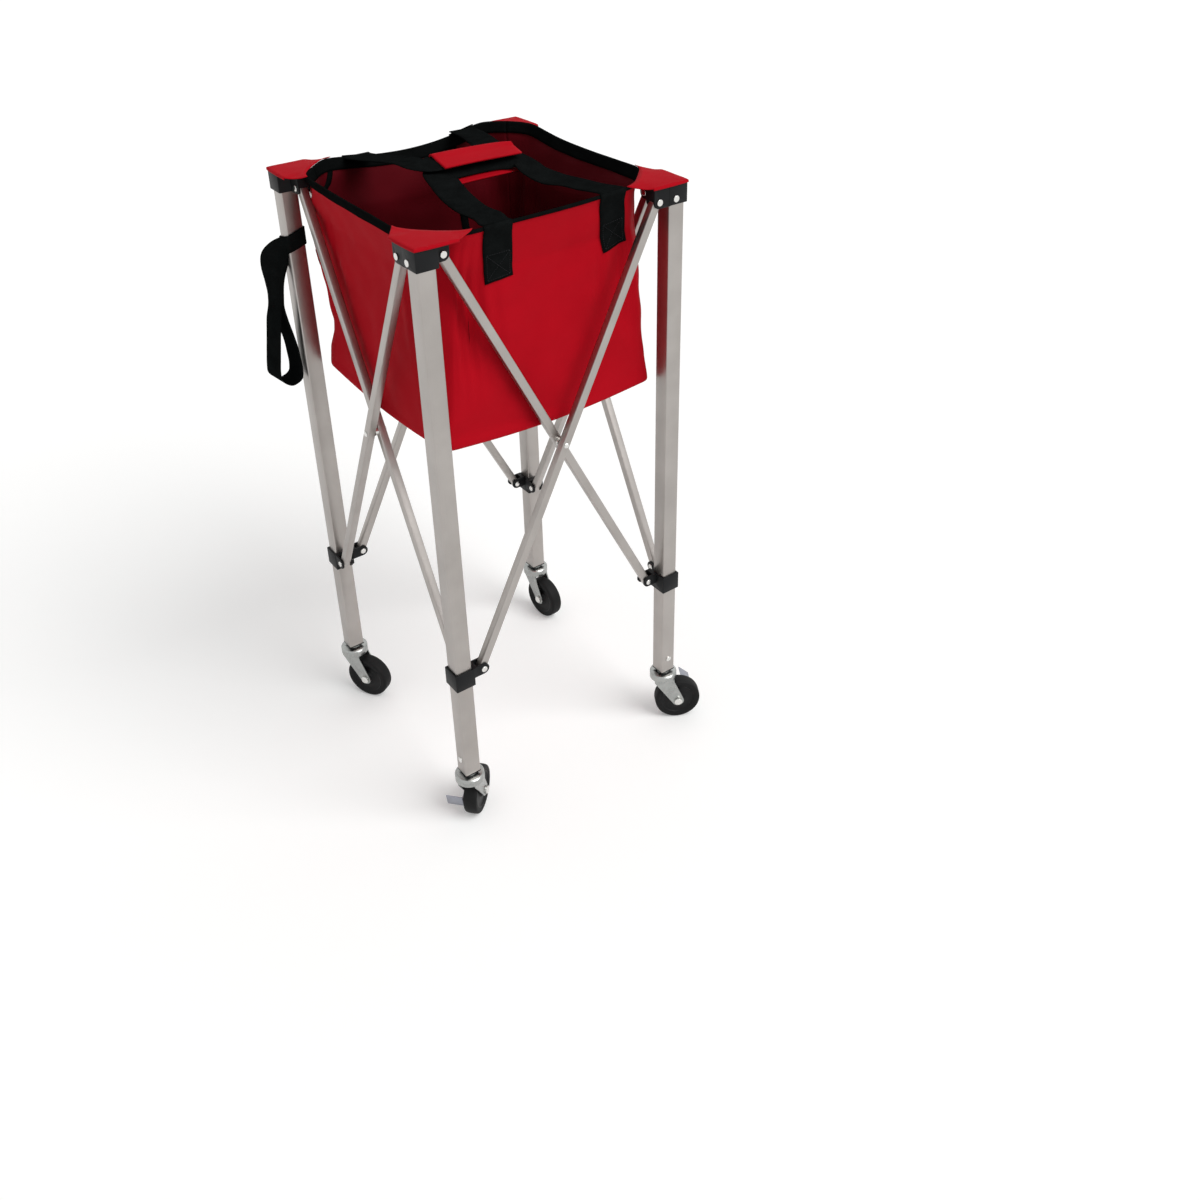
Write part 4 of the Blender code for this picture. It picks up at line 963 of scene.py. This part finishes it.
# %% Seam tapes
SEAM_TAPE, SEAM_WIDE, SEAM_INSIDE = 0.5 * MM, 0.0102, 0.6 * MM
SEAM_PLACES = (("n", 110), ("n", 159), ("s", 261), ("s", 319))
for face, column in SEAM_PLACES:
    grid = np.zeros((HEIGHT_STEPS - 2, 3, 3))
    for r in range(len(grid)):
        for c in range(3):
            beside = (column - 1 + c) % AROUND
            near, far = wall[r + 2, beside], wall[r + 2, (column + 2 * (c - 1)) % AROUND]
            spot = near + 0.3 * (far - near)
            spot[:2] -= wall_outwards[r + 2, beside] * (CLOTH + SEAM_INSIDE)
            grid[r, c] = spot
    seam = soft_piece("seam_tape_%s_%d" % (face, column),
                      [cloth_part(grid, SEAM_TAPE, centred=True)],
                      [binding_tape], PART_BODY[face], FOLD_X)
print("seam tapes:", len(SEAM_PLACES))

# %% [markdown]
# ## Corner flaps
# At each corner a flap of the same cloth reaches over the leg's cap and hooks the bag on it, like
# the pocket of a fitted sheet. It is tight over the cap, sags a little between the cap and the
# rim, and its hem turns down over the cap's edge. It is a small loft from that hem to the rim.

# %% Corner flaps
CAP_TOP_Z = 0.9222
FLAP_OUT, FLAP_ALONG, FLAP_THICK, FLAP_WIDE = 0.0170, 0.0425, 0.9 * MM, 0.100
FLAP_COLUMNS, FLAP_STEPS = 11, 9
CAP_EDGE, CAP_FADE = 0.0385, 0.010     # where the cap ends below the flap, from the leg's middle
# The flap's seam at the rim: out and up in millimetres, and how late the flap bends towards it.
FLAP_SEAM = {"sw": (0.2, 4.4, 12), "se": (0.2, 3.2, 2), "ne": (2.9, -4.5, 2), "nw": (-0.4, 3.6, 3)}
FLAP_HEM = ((3.4, 0.75), (1.8, 0.75), (0.5, 0.55))     # down from the cap's top, and out


def flap_grid(number, corner):
    """Rows from the hem over the cap to the rim, in the hopper's frame."""
    outer = smooth_path([(FLAP_ALONG, -FLAP_OUT), (0.028, -FLAP_OUT - 0.0003), (0.004, -FLAP_OUT),
                         (-0.0135, -0.0160), (-0.0160, -0.0135), (-FLAP_OUT, 0.004),
                         (-FLAP_OUT - 0.0003, 0.028), (-FLAP_OUT, FLAP_ALONG)], 6)
    out, up, late = FLAP_SEAM[corner]
    leg = at_leg(number, 0, 0, 0)
    inner = []
    for k in range(len(outer)):
        column = (FACET_MIDDLES[corner] + FLAP_COLUMNS
                  - 2 * FLAP_COLUMNS * k / (len(outer) - 1)) % AROUND
        low = int(column)
        t = column - low
        spot = wall[0, low] * (1 - t) + wall[0, (low + 1) % AROUND] * t
        way = wall_outwards[0, low]
        inner.append([spot[0] + way[0] * out * MM, spot[1] + way[1] * out * MM, spot[2] + up * MM])
    rows = []
    for drop, past in FLAP_HEM:
        row = []
        for x, y in outer:
            away = Vector((x - 0.02, y - 0.02)).normalized()
            spot = at_leg(number, x + away.x * past * MM, y + away.y * past * MM, 0)
            row.append([spot.x, spot.y, CAP_TOP_Z + 1.1 * MM - drop * MM])
        rows.append(row)
    for s in range(FLAP_STEPS + 1):
        share = s / FLAP_STEPS
        row = []
        for (x, y), end in zip(outer, inner):
            start = at_leg(number, x, y, 0)
            spot = np.array([start.x, start.y, 0.0]) * (1 - share) + np.array(end) * share
            reach = max(abs(spot[0] - leg.x), abs(spot[1] - leg.y))
            off_cap = min(1.0, max(0.0, (reach - CAP_EDGE) / CAP_FADE))
            tight = CAP_TOP_Z + 1.3 * MM + 0.3 * MM * math.sin(math.pi * share)
            slack = tight - 1.6 * MM * off_cap
            blend = share ** late
            ripple = 0.25 * MM * soft(spot[0], spot[1], 0, 0.018, 5.0 + number)
            spot[2] = slack * (1 - blend) + end[2] * blend + ripple
            row.append(spot)
        rows.append(row)
    return np.array(rows, float)


FLAP_NODE = {"sw": "bag_front", "se": "bag_east", "ne": "bag_corner_ne", "nw": "bag_north"}
for number, corner in enumerate(CORNERS):
    grid = flap_grid(number, corner)
    flap = soft_piece("corner_flap_" + corner, [cloth_part(grid, FLAP_THICK)], [red_cloth],
                      LEG_BODY[corner], None, [FLAP_NODE[corner]])
print("corner flap: %.0f square cm" % (sheet_area(grid) * 1e4))

# %% [markdown]
# ## The bag's floor
# The floor is one flat panel that is sewn to the lip round the bottom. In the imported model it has
# two halves, each hinged along its wall, because the real one creases along its middle when the
# frame folds. The cloth sags a few millimetres between its edges, and follows the lip up at the
# corners.

# %% Floor halves
FLOOR_Z = 0.6212
FLOOR_EDGE = WALL_PLANE - 2.4 * MM
WALL_COLUMN = 5.06 * MM          # width of one column of the loft
FLOOR_ROWS, FLOOR_ACROSS, FLOOR_WIDE, FLOOR_CLOTH = 26, 52, 0.330, 1.0 * MM
FLOOR_CORNER, FLOOR_SAG, FLOOR_WAVE, CREASE_GAP = 0.010, 2.4 * MM, 0.9 * MM, 0.2 * MM


def floor_grid(side):
    """Half of the floor, from its wall (south or north) to the crease in the middle."""
    grid = np.zeros((FLOOR_ROWS, FLOOR_ACROSS, 3))
    for r in range(FLOOR_ROWS):
        y = -FLOOR_EDGE + (FLOOR_EDGE - CREASE_GAP) * r / (FLOOR_ROWS - 1)
        reach = min(FLOOR_EDGE, FLOOR_EDGE - FLOOR_CORNER + (y + FLOOR_EDGE))
        for c in range(FLOOR_ACROSS):
            x = reach * (2 * c / (FLOOR_ACROSS - 1) - 1)
            sag = (1 - (x / FLOOR_EDGE) ** 2) * (1 - (y / FLOOR_EDGE) ** 2)
            edge = max(abs(x), abs(y)) / FLOOR_EDGE
            gap = 8 + (FLOOR_EDGE - min(abs(x), abs(y))) / WALL_COLUMN
            lift = sum(rise * math.exp(-0.5 * (gap / fade) ** 2) for rise, fade in HEM_RISE)
            wave = FLOOR_WAVE * soft(x, y, 0, 0.07, 2.2)
            grid[r, c] = (x, y, FLOOR_Z - FLOOR_SAG * sag + wave * sag + lift * edge ** 6)
    if side == "n":
        grid[..., :2] *= -1
    return grid


for side in "sn":
    grid = floor_grid(side)
    floor = soft_piece("bag_floor_" + side + "_cloth", [cloth_part(grid, FLOOR_CLOTH, (0, 1))],
                       [red_cloth, red_coating_with_painted_shade], "floor_" + side, FOLD_X,
                       ["bag_floor_" + side])
print("floor half: %.0f square cm" % (sheet_area(grid) * 1e4))

# %% [markdown]
# ## Webbing along a path
# A handle is one band of webbing. Its path is a smooth curve through a few points, and at each
# point the band also has a direction for its width, so it can lie flat on the bag, bend over the
# rim, sag and turn into the grip. The band is a thin closed grid with slightly rounded edges.

# %% Webbing band
WEBBING_THICK = 1.4 * MM
BAND_ACROSS = 9                  # points across a band
PINCH = 0.30                     # how far a band that is gathered bulges, as a share of its width


def webbing_grid(keys, width, steps=8):
    """Keys are (x, y, z, width direction x, y, z, share of the full width)."""
    path = smooth_path(keys, steps)
    spots, ways, shares = path[:, :3], path[:, 3:6], path[:, 6]
    heading = np.gradient(spots, axis=0)
    heading /= np.linalg.norm(heading, axis=1, keepdims=True)
    ways = ways - heading * np.sum(ways * heading, axis=1, keepdims=True)
    ways /= np.linalg.norm(ways, axis=1, keepdims=True)
    up = np.cross(ways, heading)
    grid = np.zeros((len(spots), BAND_ACROSS, 3))
    for c in range(BAND_ACROSS):
        t = 2 * c / (BAND_ACROSS - 1) - 1
        pinch = (1 - shares) * width * PINCH * (1 - t * t)
        grid[:, c] = spots + ways * (t * width / 2 * shares)[:, None] + up * pinch[:, None]
    return grid


print("webbing: %.1f mm thick" % (WEBBING_THICK / MM))

# %% Stitches
STITCH_SHAPE = [(0.0, -0.5), (0.75, -0.35), (1.0, 0.0), (0.75, 0.35), (0.0, 0.5)]
STITCH_STEP, STITCH_WIDE, STITCH_HIGH, STITCH_PROUD = 3.2 * MM, 0.32 * MM, 0.24 * MM, 0.30 * MM
stitch_points, stitch_faces, _, stitch_slots = turned_part(STITCH_SHAPE, (0, 0, 0), (0, 0, 1), 6, 1)


def stitch_parts(corners, on_band):
    """Thread stitches along the lines between corners, which are places on a band."""
    parts = []
    for a, b in zip(corners, corners[1:]):
        start, end = np.array(a, float), np.array(b, float)
        count = max(1, int(np.linalg.norm(end - start) / STITCH_STEP))
        for k in range(count):
            first, up = on_band(start + (end - start) * (k + 0.18) / count)
            last, _ = on_band(start + (end - start) * (k + 0.82) / count)
            middle = (first + last) / 2 + up * STITCH_PROUD
            length = np.linalg.norm(last - first)
            heading = (last - first) / max(1e-9, length)
            side = np.cross(up, heading)
            points = [middle + side * x * STITCH_WIDE + up * y * STITCH_HIGH + heading * z * length
                      for x, y, z in stitch_points]
            parts.append((points, stitch_faces, None, stitch_slots))
    return parts


print("faces in one stitch:", len(stitch_faces))

# %% [markdown]
# ## The two carry handles
# Each handle's ends are sewn to the outside of a wall with a box of stitches and a cross in it.
# From the rim the band sags inwards, then climbs and turns into the grip in the middle of the
# bag. The sewn ends stay with the wall. The loop is a piece of its own that starts at the rim,
# because it lifts when the frame folds.

# %% Where the front and back walls are
BAND = 0.040
HANDLE_LEFT, HANDLE_RIGHT = -0.079, 0.094


def sorted_pair(places, values):
    """Two lists in rising order of the first."""
    order = np.argsort(places)
    return places[order], values[order]


def wall_at(face, along, z):
    """The cloth's outer face on the front or back wall at a place along it and a height."""
    picked = [(WALL_START[face] - 4 + k) % AROUND for k in range(WALL_STEPS + 9)]
    level = float(np.interp(along, *sorted_pair(wall[0, picked, 0], wall[0, picked, 2])))
    row = (level - z) / (level - BOTTOM_Z) * HEIGHT_STEPS
    low = int(min(HEIGHT_STEPS - 1, max(0, row)))
    share = min(1.0, max(0.0, row - low))
    line = wall[low, picked] * (1 - share) + wall[low + 1, picked] * share
    return float(np.interp(along, *sorted_pair(line[:, 0], line[:, 1])))


def rim_at(face, along):
    """The rim's height and place on the front or back wall at a place along it."""
    picked = [(WALL_START[face] + k) % AROUND for k in range(WALL_STEPS + 1)]
    line = wall[0, picked]
    order = np.argsort(line[:, 0])
    return (float(np.interp(along, line[order, 0], line[order, 1])),
            float(np.interp(along, line[order, 0], line[order, 2])))


print("rim at the front left handle: %.1f mm up" % (rim_at("s", HANDLE_LEFT)[1] / MM))

# %% A sewn end as a grid
TAIL_BOTTOM_Z = 0.842
# Share of the way up to the rim, and the distance off the cloth in millimetres.
TAIL_LEVELS = [(share, 1.0) for share in np.linspace(0, 0.80, 13)]
TAIL_LEVELS += [(0.86, 1.5), (0.91, 2.2), (0.95, 2.6), (0.98, 2.8)]
TAIL_BEND = ((2.6, 0.6), (2.1, 1.8), (1.1, 2.5), (0.0, 2.8))     # out and up, over the rim


def tail_grid(face, top_x, bottom_x):
    """A sewn end from its bottom up over the rim. Every point lies on the wall below it."""
    outside = -1 if face == "s" else 1
    top_z = rim_at(face, top_x)[1]
    slant = math.atan2(bottom_x - top_x, top_z - TAIL_BOTTOM_Z)
    rows = []
    for share, off in TAIL_LEVELS:
        row = []
        for c in range(BAND_ACROSS):
            t = (2 * c / (BAND_ACROSS - 1) - 1) * BAND / 2
            x = bottom_x + share * (top_x - bottom_x) + t * math.cos(slant * (1 - share))
            z = TAIL_BOTTOM_Z + share * (top_z - TAIL_BOTTOM_Z) + t * math.sin(slant * (1 - share))
            row.append((x, wall_at(face, x, z) + outside * off * MM, z))
        rows.append(row)
    for out, up in TAIL_BEND:
        row = []
        for c in range(BAND_ACROSS):
            x = top_x + (2 * c / (BAND_ACROSS - 1) - 1) * BAND / 2
            rim_y, rim_z = rim_at(face, x)
            row.append((x, rim_y + outside * out * MM, rim_z + up * MM))
        rows.append(row)
    return np.array(rows)


print("rows in a sewn end:", len(TAIL_LEVELS) + len(TAIL_BEND))

# %% Sewing the ends on
BOX_HALF, BOX_LOW, BOX_HIGH = 16 * MM, 4 * MM, 40 * MM


def sewn_end(name, face, top_x, bottom_x, body):
    """One end of a handle on a wall, with its box of stitches."""
    grid = tail_grid(face, top_x, bottom_x)[::-1]
    if face == "n":
        grid = grid[:, ::-1]
    normal = grid_normals(grid)
    rows = len(grid)
    steps = np.linalg.norm(np.diff(grid[:, BAND_ACROSS // 2], axis=0), axis=1)
    reach = np.concatenate([[0], np.cumsum(steps)])
    reach = reach[-1] - reach

    def on_band(place):
        across, along = place
        r = min(rows - 1.001, float(np.interp(along, reach[::-1], np.arange(rows)[::-1])))
        c = min(BAND_ACROSS - 1.001, (across / BAND + 0.5) * (BAND_ACROSS - 1))
        i, j = int(r), int(c)
        s, t = r - i, c - j
        spot = ((grid[i, j] * (1 - s) + grid[i + 1, j] * s) * (1 - t)
                + (grid[i, j + 1] * (1 - s) + grid[i + 1, j + 1] * s) * t)
        return spot + normal[i, j] * WEBBING_THICK / 2, normal[i, j]

    low_left, low_right = (-BOX_HALF, BOX_LOW), (BOX_HALF, BOX_LOW)
    high_left, high_right = (-BOX_HALF, BOX_HIGH), (BOX_HALF, BOX_HIGH)
    threads = []
    for line in ([low_left, low_right, high_right, high_left, low_left],
                 [low_left, high_right], [low_right, high_left]):
        threads += stitch_parts(line, on_band)
    band = cloth_part(grid, WEBBING_THICK, centred=True)
    piece = soft_piece(name, [band] + threads, [webbing, black_thread], body,
                       FOLD_X)
    print("%s: %.0f mm, %d stitches" % (name, reach[0] / MM, len(threads)))


# Wall, side, place at the rim, place at the bottom, body.
for face, side, top_x, bottom_x, body in (("s", "left", HANDLE_LEFT, -0.070, "frame"),
                                          ("s", "right", HANDLE_RIGHT, 0.111, "frame"),
                                          ("n", "left", HANDLE_LEFT, -0.094, "leg_nw"),
                                          ("n", "right", HANDLE_RIGHT, 0.104, "leg_nw")):
    sewn_end("handle_end_%s_%s" % (face, side), face, top_x, bottom_x, body)

# %% [markdown]
# ## Loops and grip
# The front band hangs slack: it dips inside the rim, then rises steeply to the grip. The rear
# band is nearly tight. In the grip both bands lie flat on each other along the bag's middle. Each
# key below is a place, the direction of the band's width there, and a share of its full width,
# which is less where the grip gathers it.

# %% Keys of the handle loops
GRIP_Z = 0.9453
TILT_Y, TILT_Z = -0.974, -0.225      # how the rear band lies in the grip
STEEP_Y, STEEP_Z = -0.85, -0.527     # how the front band lies in the grip
OVER_RIM = 2.8 * MM


def over_rim(face, along):
    """Where a band crosses the rim: its place, and its height above the rim."""
    rim_y, rim_z = rim_at(face, along)
    return rim_y, rim_z + OVER_RIM


rim_y, over = over_rim("s", HANDLE_LEFT)
front_left = [
    (-0.0790, rim_y, over, 1, 0, 0, 1), (-0.0790, rim_y + 0.008, over - 0.0005, 1, 0, 0, 1),
    (-0.0782, -0.1600, 0.9245, 1, 0, 0, 1), (-0.0770, -0.1250, 0.9225, 1, 0, 0, 1),
    (-0.0745, -0.0900, 0.9255, 1, 0, 0.05, 1), (-0.0705, -0.0620, 0.9295, 1, -0.05, 0.05, 1),
    (-0.0660, -0.0420, 0.9325, 0.98, -0.18, 0.03, 1), (-0.0640, -0.0280, 0.9348, 1, 0, 0, 1),
    (-0.0609, -0.0165, 0.9366, 0.87, -0.50, -0.15, 1),
    (-0.0520, -0.0085, 0.9380, 0.5, -0.80, -0.33, 1),
    (-0.0400, -0.0055, 0.9380, 0, STEEP_Y, STEEP_Z, 0.93),
    (-0.0250, -0.0045, 0.9377, 0, STEEP_Y, STEEP_Z, 0.90),
]
rim_y, over = over_rim("s", HANDLE_RIGHT)
front_right = [
    (0.0100, -0.0045, 0.9375, 0, STEEP_Y, STEEP_Z, 0.90),
    (0.0330, -0.0055, 0.9372, 0, STEEP_Y, STEEP_Z, 0.92),
    (0.0460, -0.0080, 0.9365, 0, STEEP_Y, STEEP_Z, 0.96),
    (0.0575, -0.0125, 0.9350, -0.45, -0.80, -0.3, 1),
    (0.0655, -0.0195, 0.9322, -0.86, -0.45, 0, 1), (0.0680, -0.0310, 0.9285, -1, 0, 0.1, 1),
    (0.0685, -0.0470, 0.9240, -1, 0.05, 0.05, 1), (0.0750, -0.0750, 0.9195, -0.98, 0.2, -0.03, 1),
    (0.0865, -0.1030, 0.9190, -0.98, 0.18, 0, 1), (0.0920, -0.1400, 0.9205, -1, 0.05, 0, 1),
    (0.0938, rim_y + 0.010, over - 0.0006, -1, 0, 0, 1), (0.0940, rim_y, over, -1, 0, 0, 1),
]
front_loop = webbing_grid(front_left + front_right, BAND)
rim_y, over = over_rim("n", HANDLE_LEFT)
rear_left = [
    (-0.0790, rim_y, over, -1, 0, 0, 1), (-0.0790, rim_y - 0.010, over + 0.0003, -1, 0, 0, 1),
    (-0.0790, 0.1450, over + 0.0050, -1, 0, 0, 1), (-0.0788, 0.1050, 0.9340, -1, 0, 0, 1),
    (-0.0785, 0.0700, 0.9405, -1, 0, 0, 1), (-0.0780, 0.0420, 0.9455, -1, 0, 0, 1),
    (-0.0775, 0.0240, 0.9475, -1, 0, 0, 1), (-0.0743, 0.0120, 0.9478, -0.87, -0.5, -0.1, 1),
    (-0.0655, 0.0025, 0.9472, -0.5, -0.85, -0.2, 0.97),
    (-0.0530, -0.0010, 0.9462, 0, TILT_Y, TILT_Z, 0.88),
    (-0.0320, -0.0015, GRIP_Z, 0, TILT_Y, TILT_Z, 0.80),
]
rim_y, over = over_rim("n", HANDLE_RIGHT)
rear_right = [
    (-0.0050, -0.0015, GRIP_Z, 0, TILT_Y, TILT_Z, 0.80),
    (0.0120, -0.0010, GRIP_Z, 0, TILT_Y, TILT_Z, 0.82),
    (0.0260, 0.0035, 0.9458, 0.45, -0.87, -0.15, 0.88),
    (0.0370, 0.0130, 0.9462, 0.80, -0.58, -0.05, 0.95),
    (0.0440, 0.0290, 0.9458, 0.93, -0.36, 0, 1), (0.0550, 0.0600, 0.9425, 0.94, -0.34, 0, 1),
    (0.0700, 0.1000, 0.9375, 0.94, -0.34, 0, 1), (0.0845, 0.1400, over + 0.0045, 0.96, -0.28, 0, 1),
    (0.0930, rim_y - 0.010, over + 0.0004, 1, -0.10, 0, 1), (0.0940, rim_y, over, 1, 0, 0, 1),
]
rear_loop = webbing_grid(rear_left + rear_right, BAND)
print("keys:", len(front_left + front_right), len(rear_left + rear_right))

# %% Handle loops
for side, grid in (("s", front_loop), ("n", rear_loop)):
    loop = soft_piece("handle_loop_" + side, [cloth_part(grid, WEBBING_THICK, centred=True)],
                      [webbing], "handle_" + side, FOLD_X, ["handle_" + side])

# %% [markdown]
# ## Grip wrap
# A padded cloth wrap folds round both bands and would close with a hook-and-loop strip. In the
# photograph it isn't closed: the top lies flat, and the lower half droops open along the near
# side. It is one thick sheet bent round the far side.

# %% Grip wrap
WRAP_LEFT, WRAP_RIGHT, WRAP_THICK, WRAP_COLUMNS = -0.0530, 0.0670, 2.2 * MM, 34
LOWER_FROM, UPPER_TO = 0.55, 0.3     # shares of the line where the droop begins, the lift ends
# The wrap from its upper edge round the far side to its lower edge, y and z in millimetres.
wrap_line = smooth_path([(-22.5, 944.9), (-14.0, 946.8), (-4.0, 949.2), (6.0, 951.5), (15.0, 953.5),
                         (20.5, 954.0), (24.0, 951.8), (23.6, 948.2), (18.0, 944.0), (8.0, 938.4),
                         (-2.0, 933.2), (-11.0, 928.2), (-19.0, 924.4), (-26.5, 922.0)], 4) * MM
wrap = np.zeros((len(wrap_line), WRAP_COLUMNS, 3))
for c in range(WRAP_COLUMNS):
    share = c / (WRAP_COLUMNS - 1)
    x = WRAP_LEFT + share * (WRAP_RIGHT - WRAP_LEFT)
    for r, (y, z) in enumerate(wrap_line):
        done = r / len(wrap_line)
        lower = max(0.0, done - LOWER_FROM) / (1 - LOWER_FROM)
        droop = (0.9 * MM * math.sin(3.1 * share + 0.4) - 1.2 * MM * (1 - share)) * lower
        lift = 0.5 * MM * math.sin(math.pi * share) * max(0.0, UPPER_TO - done) / UPPER_TO
        if y > 0:
            y_here = y * (0.74 - 0.22 * share ** 3 - 0.20 * share ** 14)
        else:
            y_here = y * (1 - 0.12 * share ** 6)
        bow = 2.6 * MM * share ** 2 * (1 - lower)
        wrap[r, c] = (x + 0.5 * MM * soft(0, y, z, 0.01, 1.0), y_here, z + droop + lift - bow)
grip = soft_piece("grip_wrap_cloth", [cloth_part(wrap, WRAP_THICK, centred=True)], [red_cloth],
                  "handle_s", FOLD_X, ["grip_wrap"])

# %% [markdown]
# ## Storage strap
# A strap of the same webbing is tied round the rear left leg. Its loop holds the folded frame
# together, and here it hangs loose: the two halves lie on each other at the top, are twisted
# together below, and open into a long drop at the bottom.

# %% Keys of the strap
LEG_NW = Vector((-H, H, 0))
LOOP_MIDDLE = LEG_NW + Vector((-0.041, 0.0184, 0))
TO_RIGHT = Vector((0.7709, -0.6369, 0))
TO_FRONT = Vector((-0.6369, -0.7709, 0))


def strap_key(right, front, z, way_right, way_front, way_up, share):
    """A point of the loop from how it looks in the photograph: to the right and to the front."""
    spot = LOOP_MIDDLE + TO_RIGHT * right * MM + TO_FRONT * front * MM
    way = TO_RIGHT * way_right + TO_FRONT * way_front
    return (spot.x, spot.y, z * MM, way.x, way.y, way_up, share)


down = [
    (41.8, 3, 820.0, 0, -0.1, -1, 0.6), (32.5, 2, 816.0, 0.25, 0, -0.97, 0.7),
    (23.3, 1, 808.3, 0.65, 0, -0.76, 0.85), (16.4, 0, 797.6, 0.9, 0, -0.44, 1.0),
    (12.8, 0, 783.1, 1, 0, -0.1, 0.92), (10.7, 0, 762.5, 1, 0, 0, 0.7),
    (9.5, 1, 743.9, 1, 0.1, 0, 0.58),
    (7.3, 4, 726.1, 0.93, 0.36, 0, 0.62), (4.6, 8, 708.5, 0.84, 0.54, 0, 0.8),
    (1.9, 10, 689.9, 0.76, 0.65, 0, 0.92), (-0.4, 12, 671.1, 0.72, 0.69, 0, 1.0),
    (-3.5, 12, 651.1, 0.72, 0.69, 0, 1.0), (-6.2, 12, 631.0, 0.72, 0.69, 0, 1.0),
    (-6.1, 9, 615.6, 0.72, 0.69, 0, 1.0), (4.7, 0, 604.6, 0.72, 0.69, 0, 1.0),
]
up = [
    (16.2, -10, 609.6, 0.72, 0.69, 0, 1.0), (19.1, -12, 623.4, 0.72, 0.69, 0, 1.0),
    (18.5, -12, 639.8, 0.72, 0.69, 0, 1.0), (17.0, -12, 660.0, 0.72, 0.69, 0, 1.0),
    (14.0, -10, 680.8, 0.76, 0.65, 0, 0.92), (10.3, -7, 701.9, 0.84, 0.54, 0, 0.8),
    (8.5, -5, 722.2, 0.93, 0.36, 0, 0.64), (9.6, -4, 741.8, 1, 0.1, 0, 0.6),
    (10.7, -4, 760.9, 1, 0, 0, 0.7), (12.7, -4, 780.4, 1, 0, -0.1, 0.92),
    (16.3, -4, 794.5, 0.9, 0, -0.44, 1.0), (23.1, -3, 805.3, 0.65, 0, -0.76, 0.85),
    (31.7, -2, 813.4, 0.25, 0, -0.97, 0.7), (40.4, -1, 817.8, 0, -0.1, -1, 0.6),
]
print("keys of the strap:", len(down + up))

# %% Strap
STRAP_WIDE, STRAP_STEPS = 0.038, 6
TURN_REACH, TURN_GAIN, TURN_SQUARE = 14.0 * MM, 1.0 * MM, 7     # the turn round the square leg
TURN_Z, TURN_HALF, TURN_SLOPE, TURN_FROM = 0.8205, 0.0125, 0.42, 150
loop_grid = webbing_grid([strap_key(*k) for k in down + up], STRAP_WIDE, STRAP_STEPS)
turn_grid = []
for angle in range(0, 361, 10):
    c = math.cos(math.radians(angle + TURN_FROM))
    s = math.sin(math.radians(angle + TURN_FROM))
    reach = (abs(c) ** TURN_SQUARE + abs(s) ** TURN_SQUARE) ** (-1 / TURN_SQUARE) * TURN_REACH
    reach += angle / 360 * TURN_GAIN
    x, y = LEG_NW.x + c * reach, LEG_NW.y + s * reach
    slope = ((x - LEG_NW.x) * TO_RIGHT.x + (y - LEG_NW.y) * TO_RIGHT.y) * TURN_SLOPE
    crumple = 0.6 * MM * soft(x, y, 0, 0.012, 4.0)
    turn_grid.append([(x, y, TURN_Z + slope + z + crumple)
                      for z in np.linspace(-TURN_HALF, TURN_HALF, BAND_ACROSS)])
turn_grid = np.array(turn_grid)
strap = soft_piece("storage_strap",
                   [cloth_part(loop_grid, WEBBING_THICK, centred=True),
                    cloth_part(turn_grid, WEBBING_THICK, centred=True)],
                   [webbing], "leg_nw", None, ["leg_strap"])

# %% [markdown]
# ## Floor and light
# The photograph has a plain white ground. Here that is a big pale floor with the object's soft
# shadow, and a white world. Two suns with wide angles and the world light the object at a level
# where a colour renders about as it is written: the front face gets more light than the left one,
# as in the photograph. Rays from the camera and mirror rays see a pure white world.

# %% Which rays see white
def seen_rays(tree):
    """1 for rays from the camera, off a mirror or through glass, and 0 for the light itself."""
    rays = add_node(tree, "ShaderNodeLightPath")
    seen = rays.outputs["Is Camera Ray"]
    for kind in ("Is Glossy Ray", "Is Transmission Ray"):
        seen = add_node(tree, "ShaderNodeMath", {0: seen, 1: rays.outputs[kind]},
                        operation="MAXIMUM").outputs[0]
    return seen


print("white for the camera, in mirrors and through glass")

# %% Floor
GROUND, FLOOR_GLOW = 24.0, 0.16
bpy.ops.mesh.primitive_plane_add(size=GROUND, location=(0, 0, -0.0002))
ground = bpy.context.active_object
ground.name = "studio_floor"
ground_material, tree, shader = start_material("matt_white_floor", "#F6F6F5", 0.9)
lift = add_node(tree, "ShaderNodeMath", {0: seen_rays(tree), 1: FLOOR_GLOW},
                operation="MULTIPLY")
tree.links.new(lift.outputs[0], shader.inputs["Emission Strength"])
shader.inputs["Emission Color"].default_value = (1, 1, 1, 1)
dust = add_node(tree, "ShaderNodeTexNoise", {"Scale": 3.0, "Detail": 4.0})
pale = add_node(tree, "ShaderNodeMix",
                {0: dust.outputs["Fac"], 6: linear("#F4F4F3"), 7: linear("#F8F8F7")},
                data_type="RGBA")
tree.links.new(pale.outputs[2], shader.inputs["Base Color"])
ground.data.materials.append(ground_material)
print("floor: %.0f m wide" % GROUND)

# %% World and suns
WORLD_LIGHT = 0.46
world = bpy.data.worlds.new("white_studio")
bpy.context.scene.world = world
world.use_nodes = True
tree = world.node_tree
tree.nodes.clear()
strength = add_node(tree, "ShaderNodeMapRange",
                    {"Value": seen_rays(tree), "To Min": WORLD_LIGHT, "To Max": 1.0})
sky = add_node(tree, "ShaderNodeBackground",
               {"Color": (1, 1, 1, 1), "Strength": strength.outputs["Result"]})
add_node(tree, "ShaderNodeOutputWorld", {"Surface": sky.outputs[0]})


def sun(name, towards, strength, spread):
    """A wide sun that shines towards a direction."""
    data = bpy.data.lights.new(name, "SUN")
    data.energy, data.angle = strength, math.radians(spread)
    lamp = bpy.data.objects.new(name, data)
    lamp.rotation_euler = Vector(towards).to_track_quat("-Z", "Y").to_euler()
    bpy.context.scene.collection.objects.link(lamp)


sun("key_light", (-0.35, 0.80, -0.95), 1.95, 40)
sun("fill_light", (-0.8, -0.35, -0.8), 0.15, 60)
bpy.context.scene.view_settings.view_transform = "Standard"
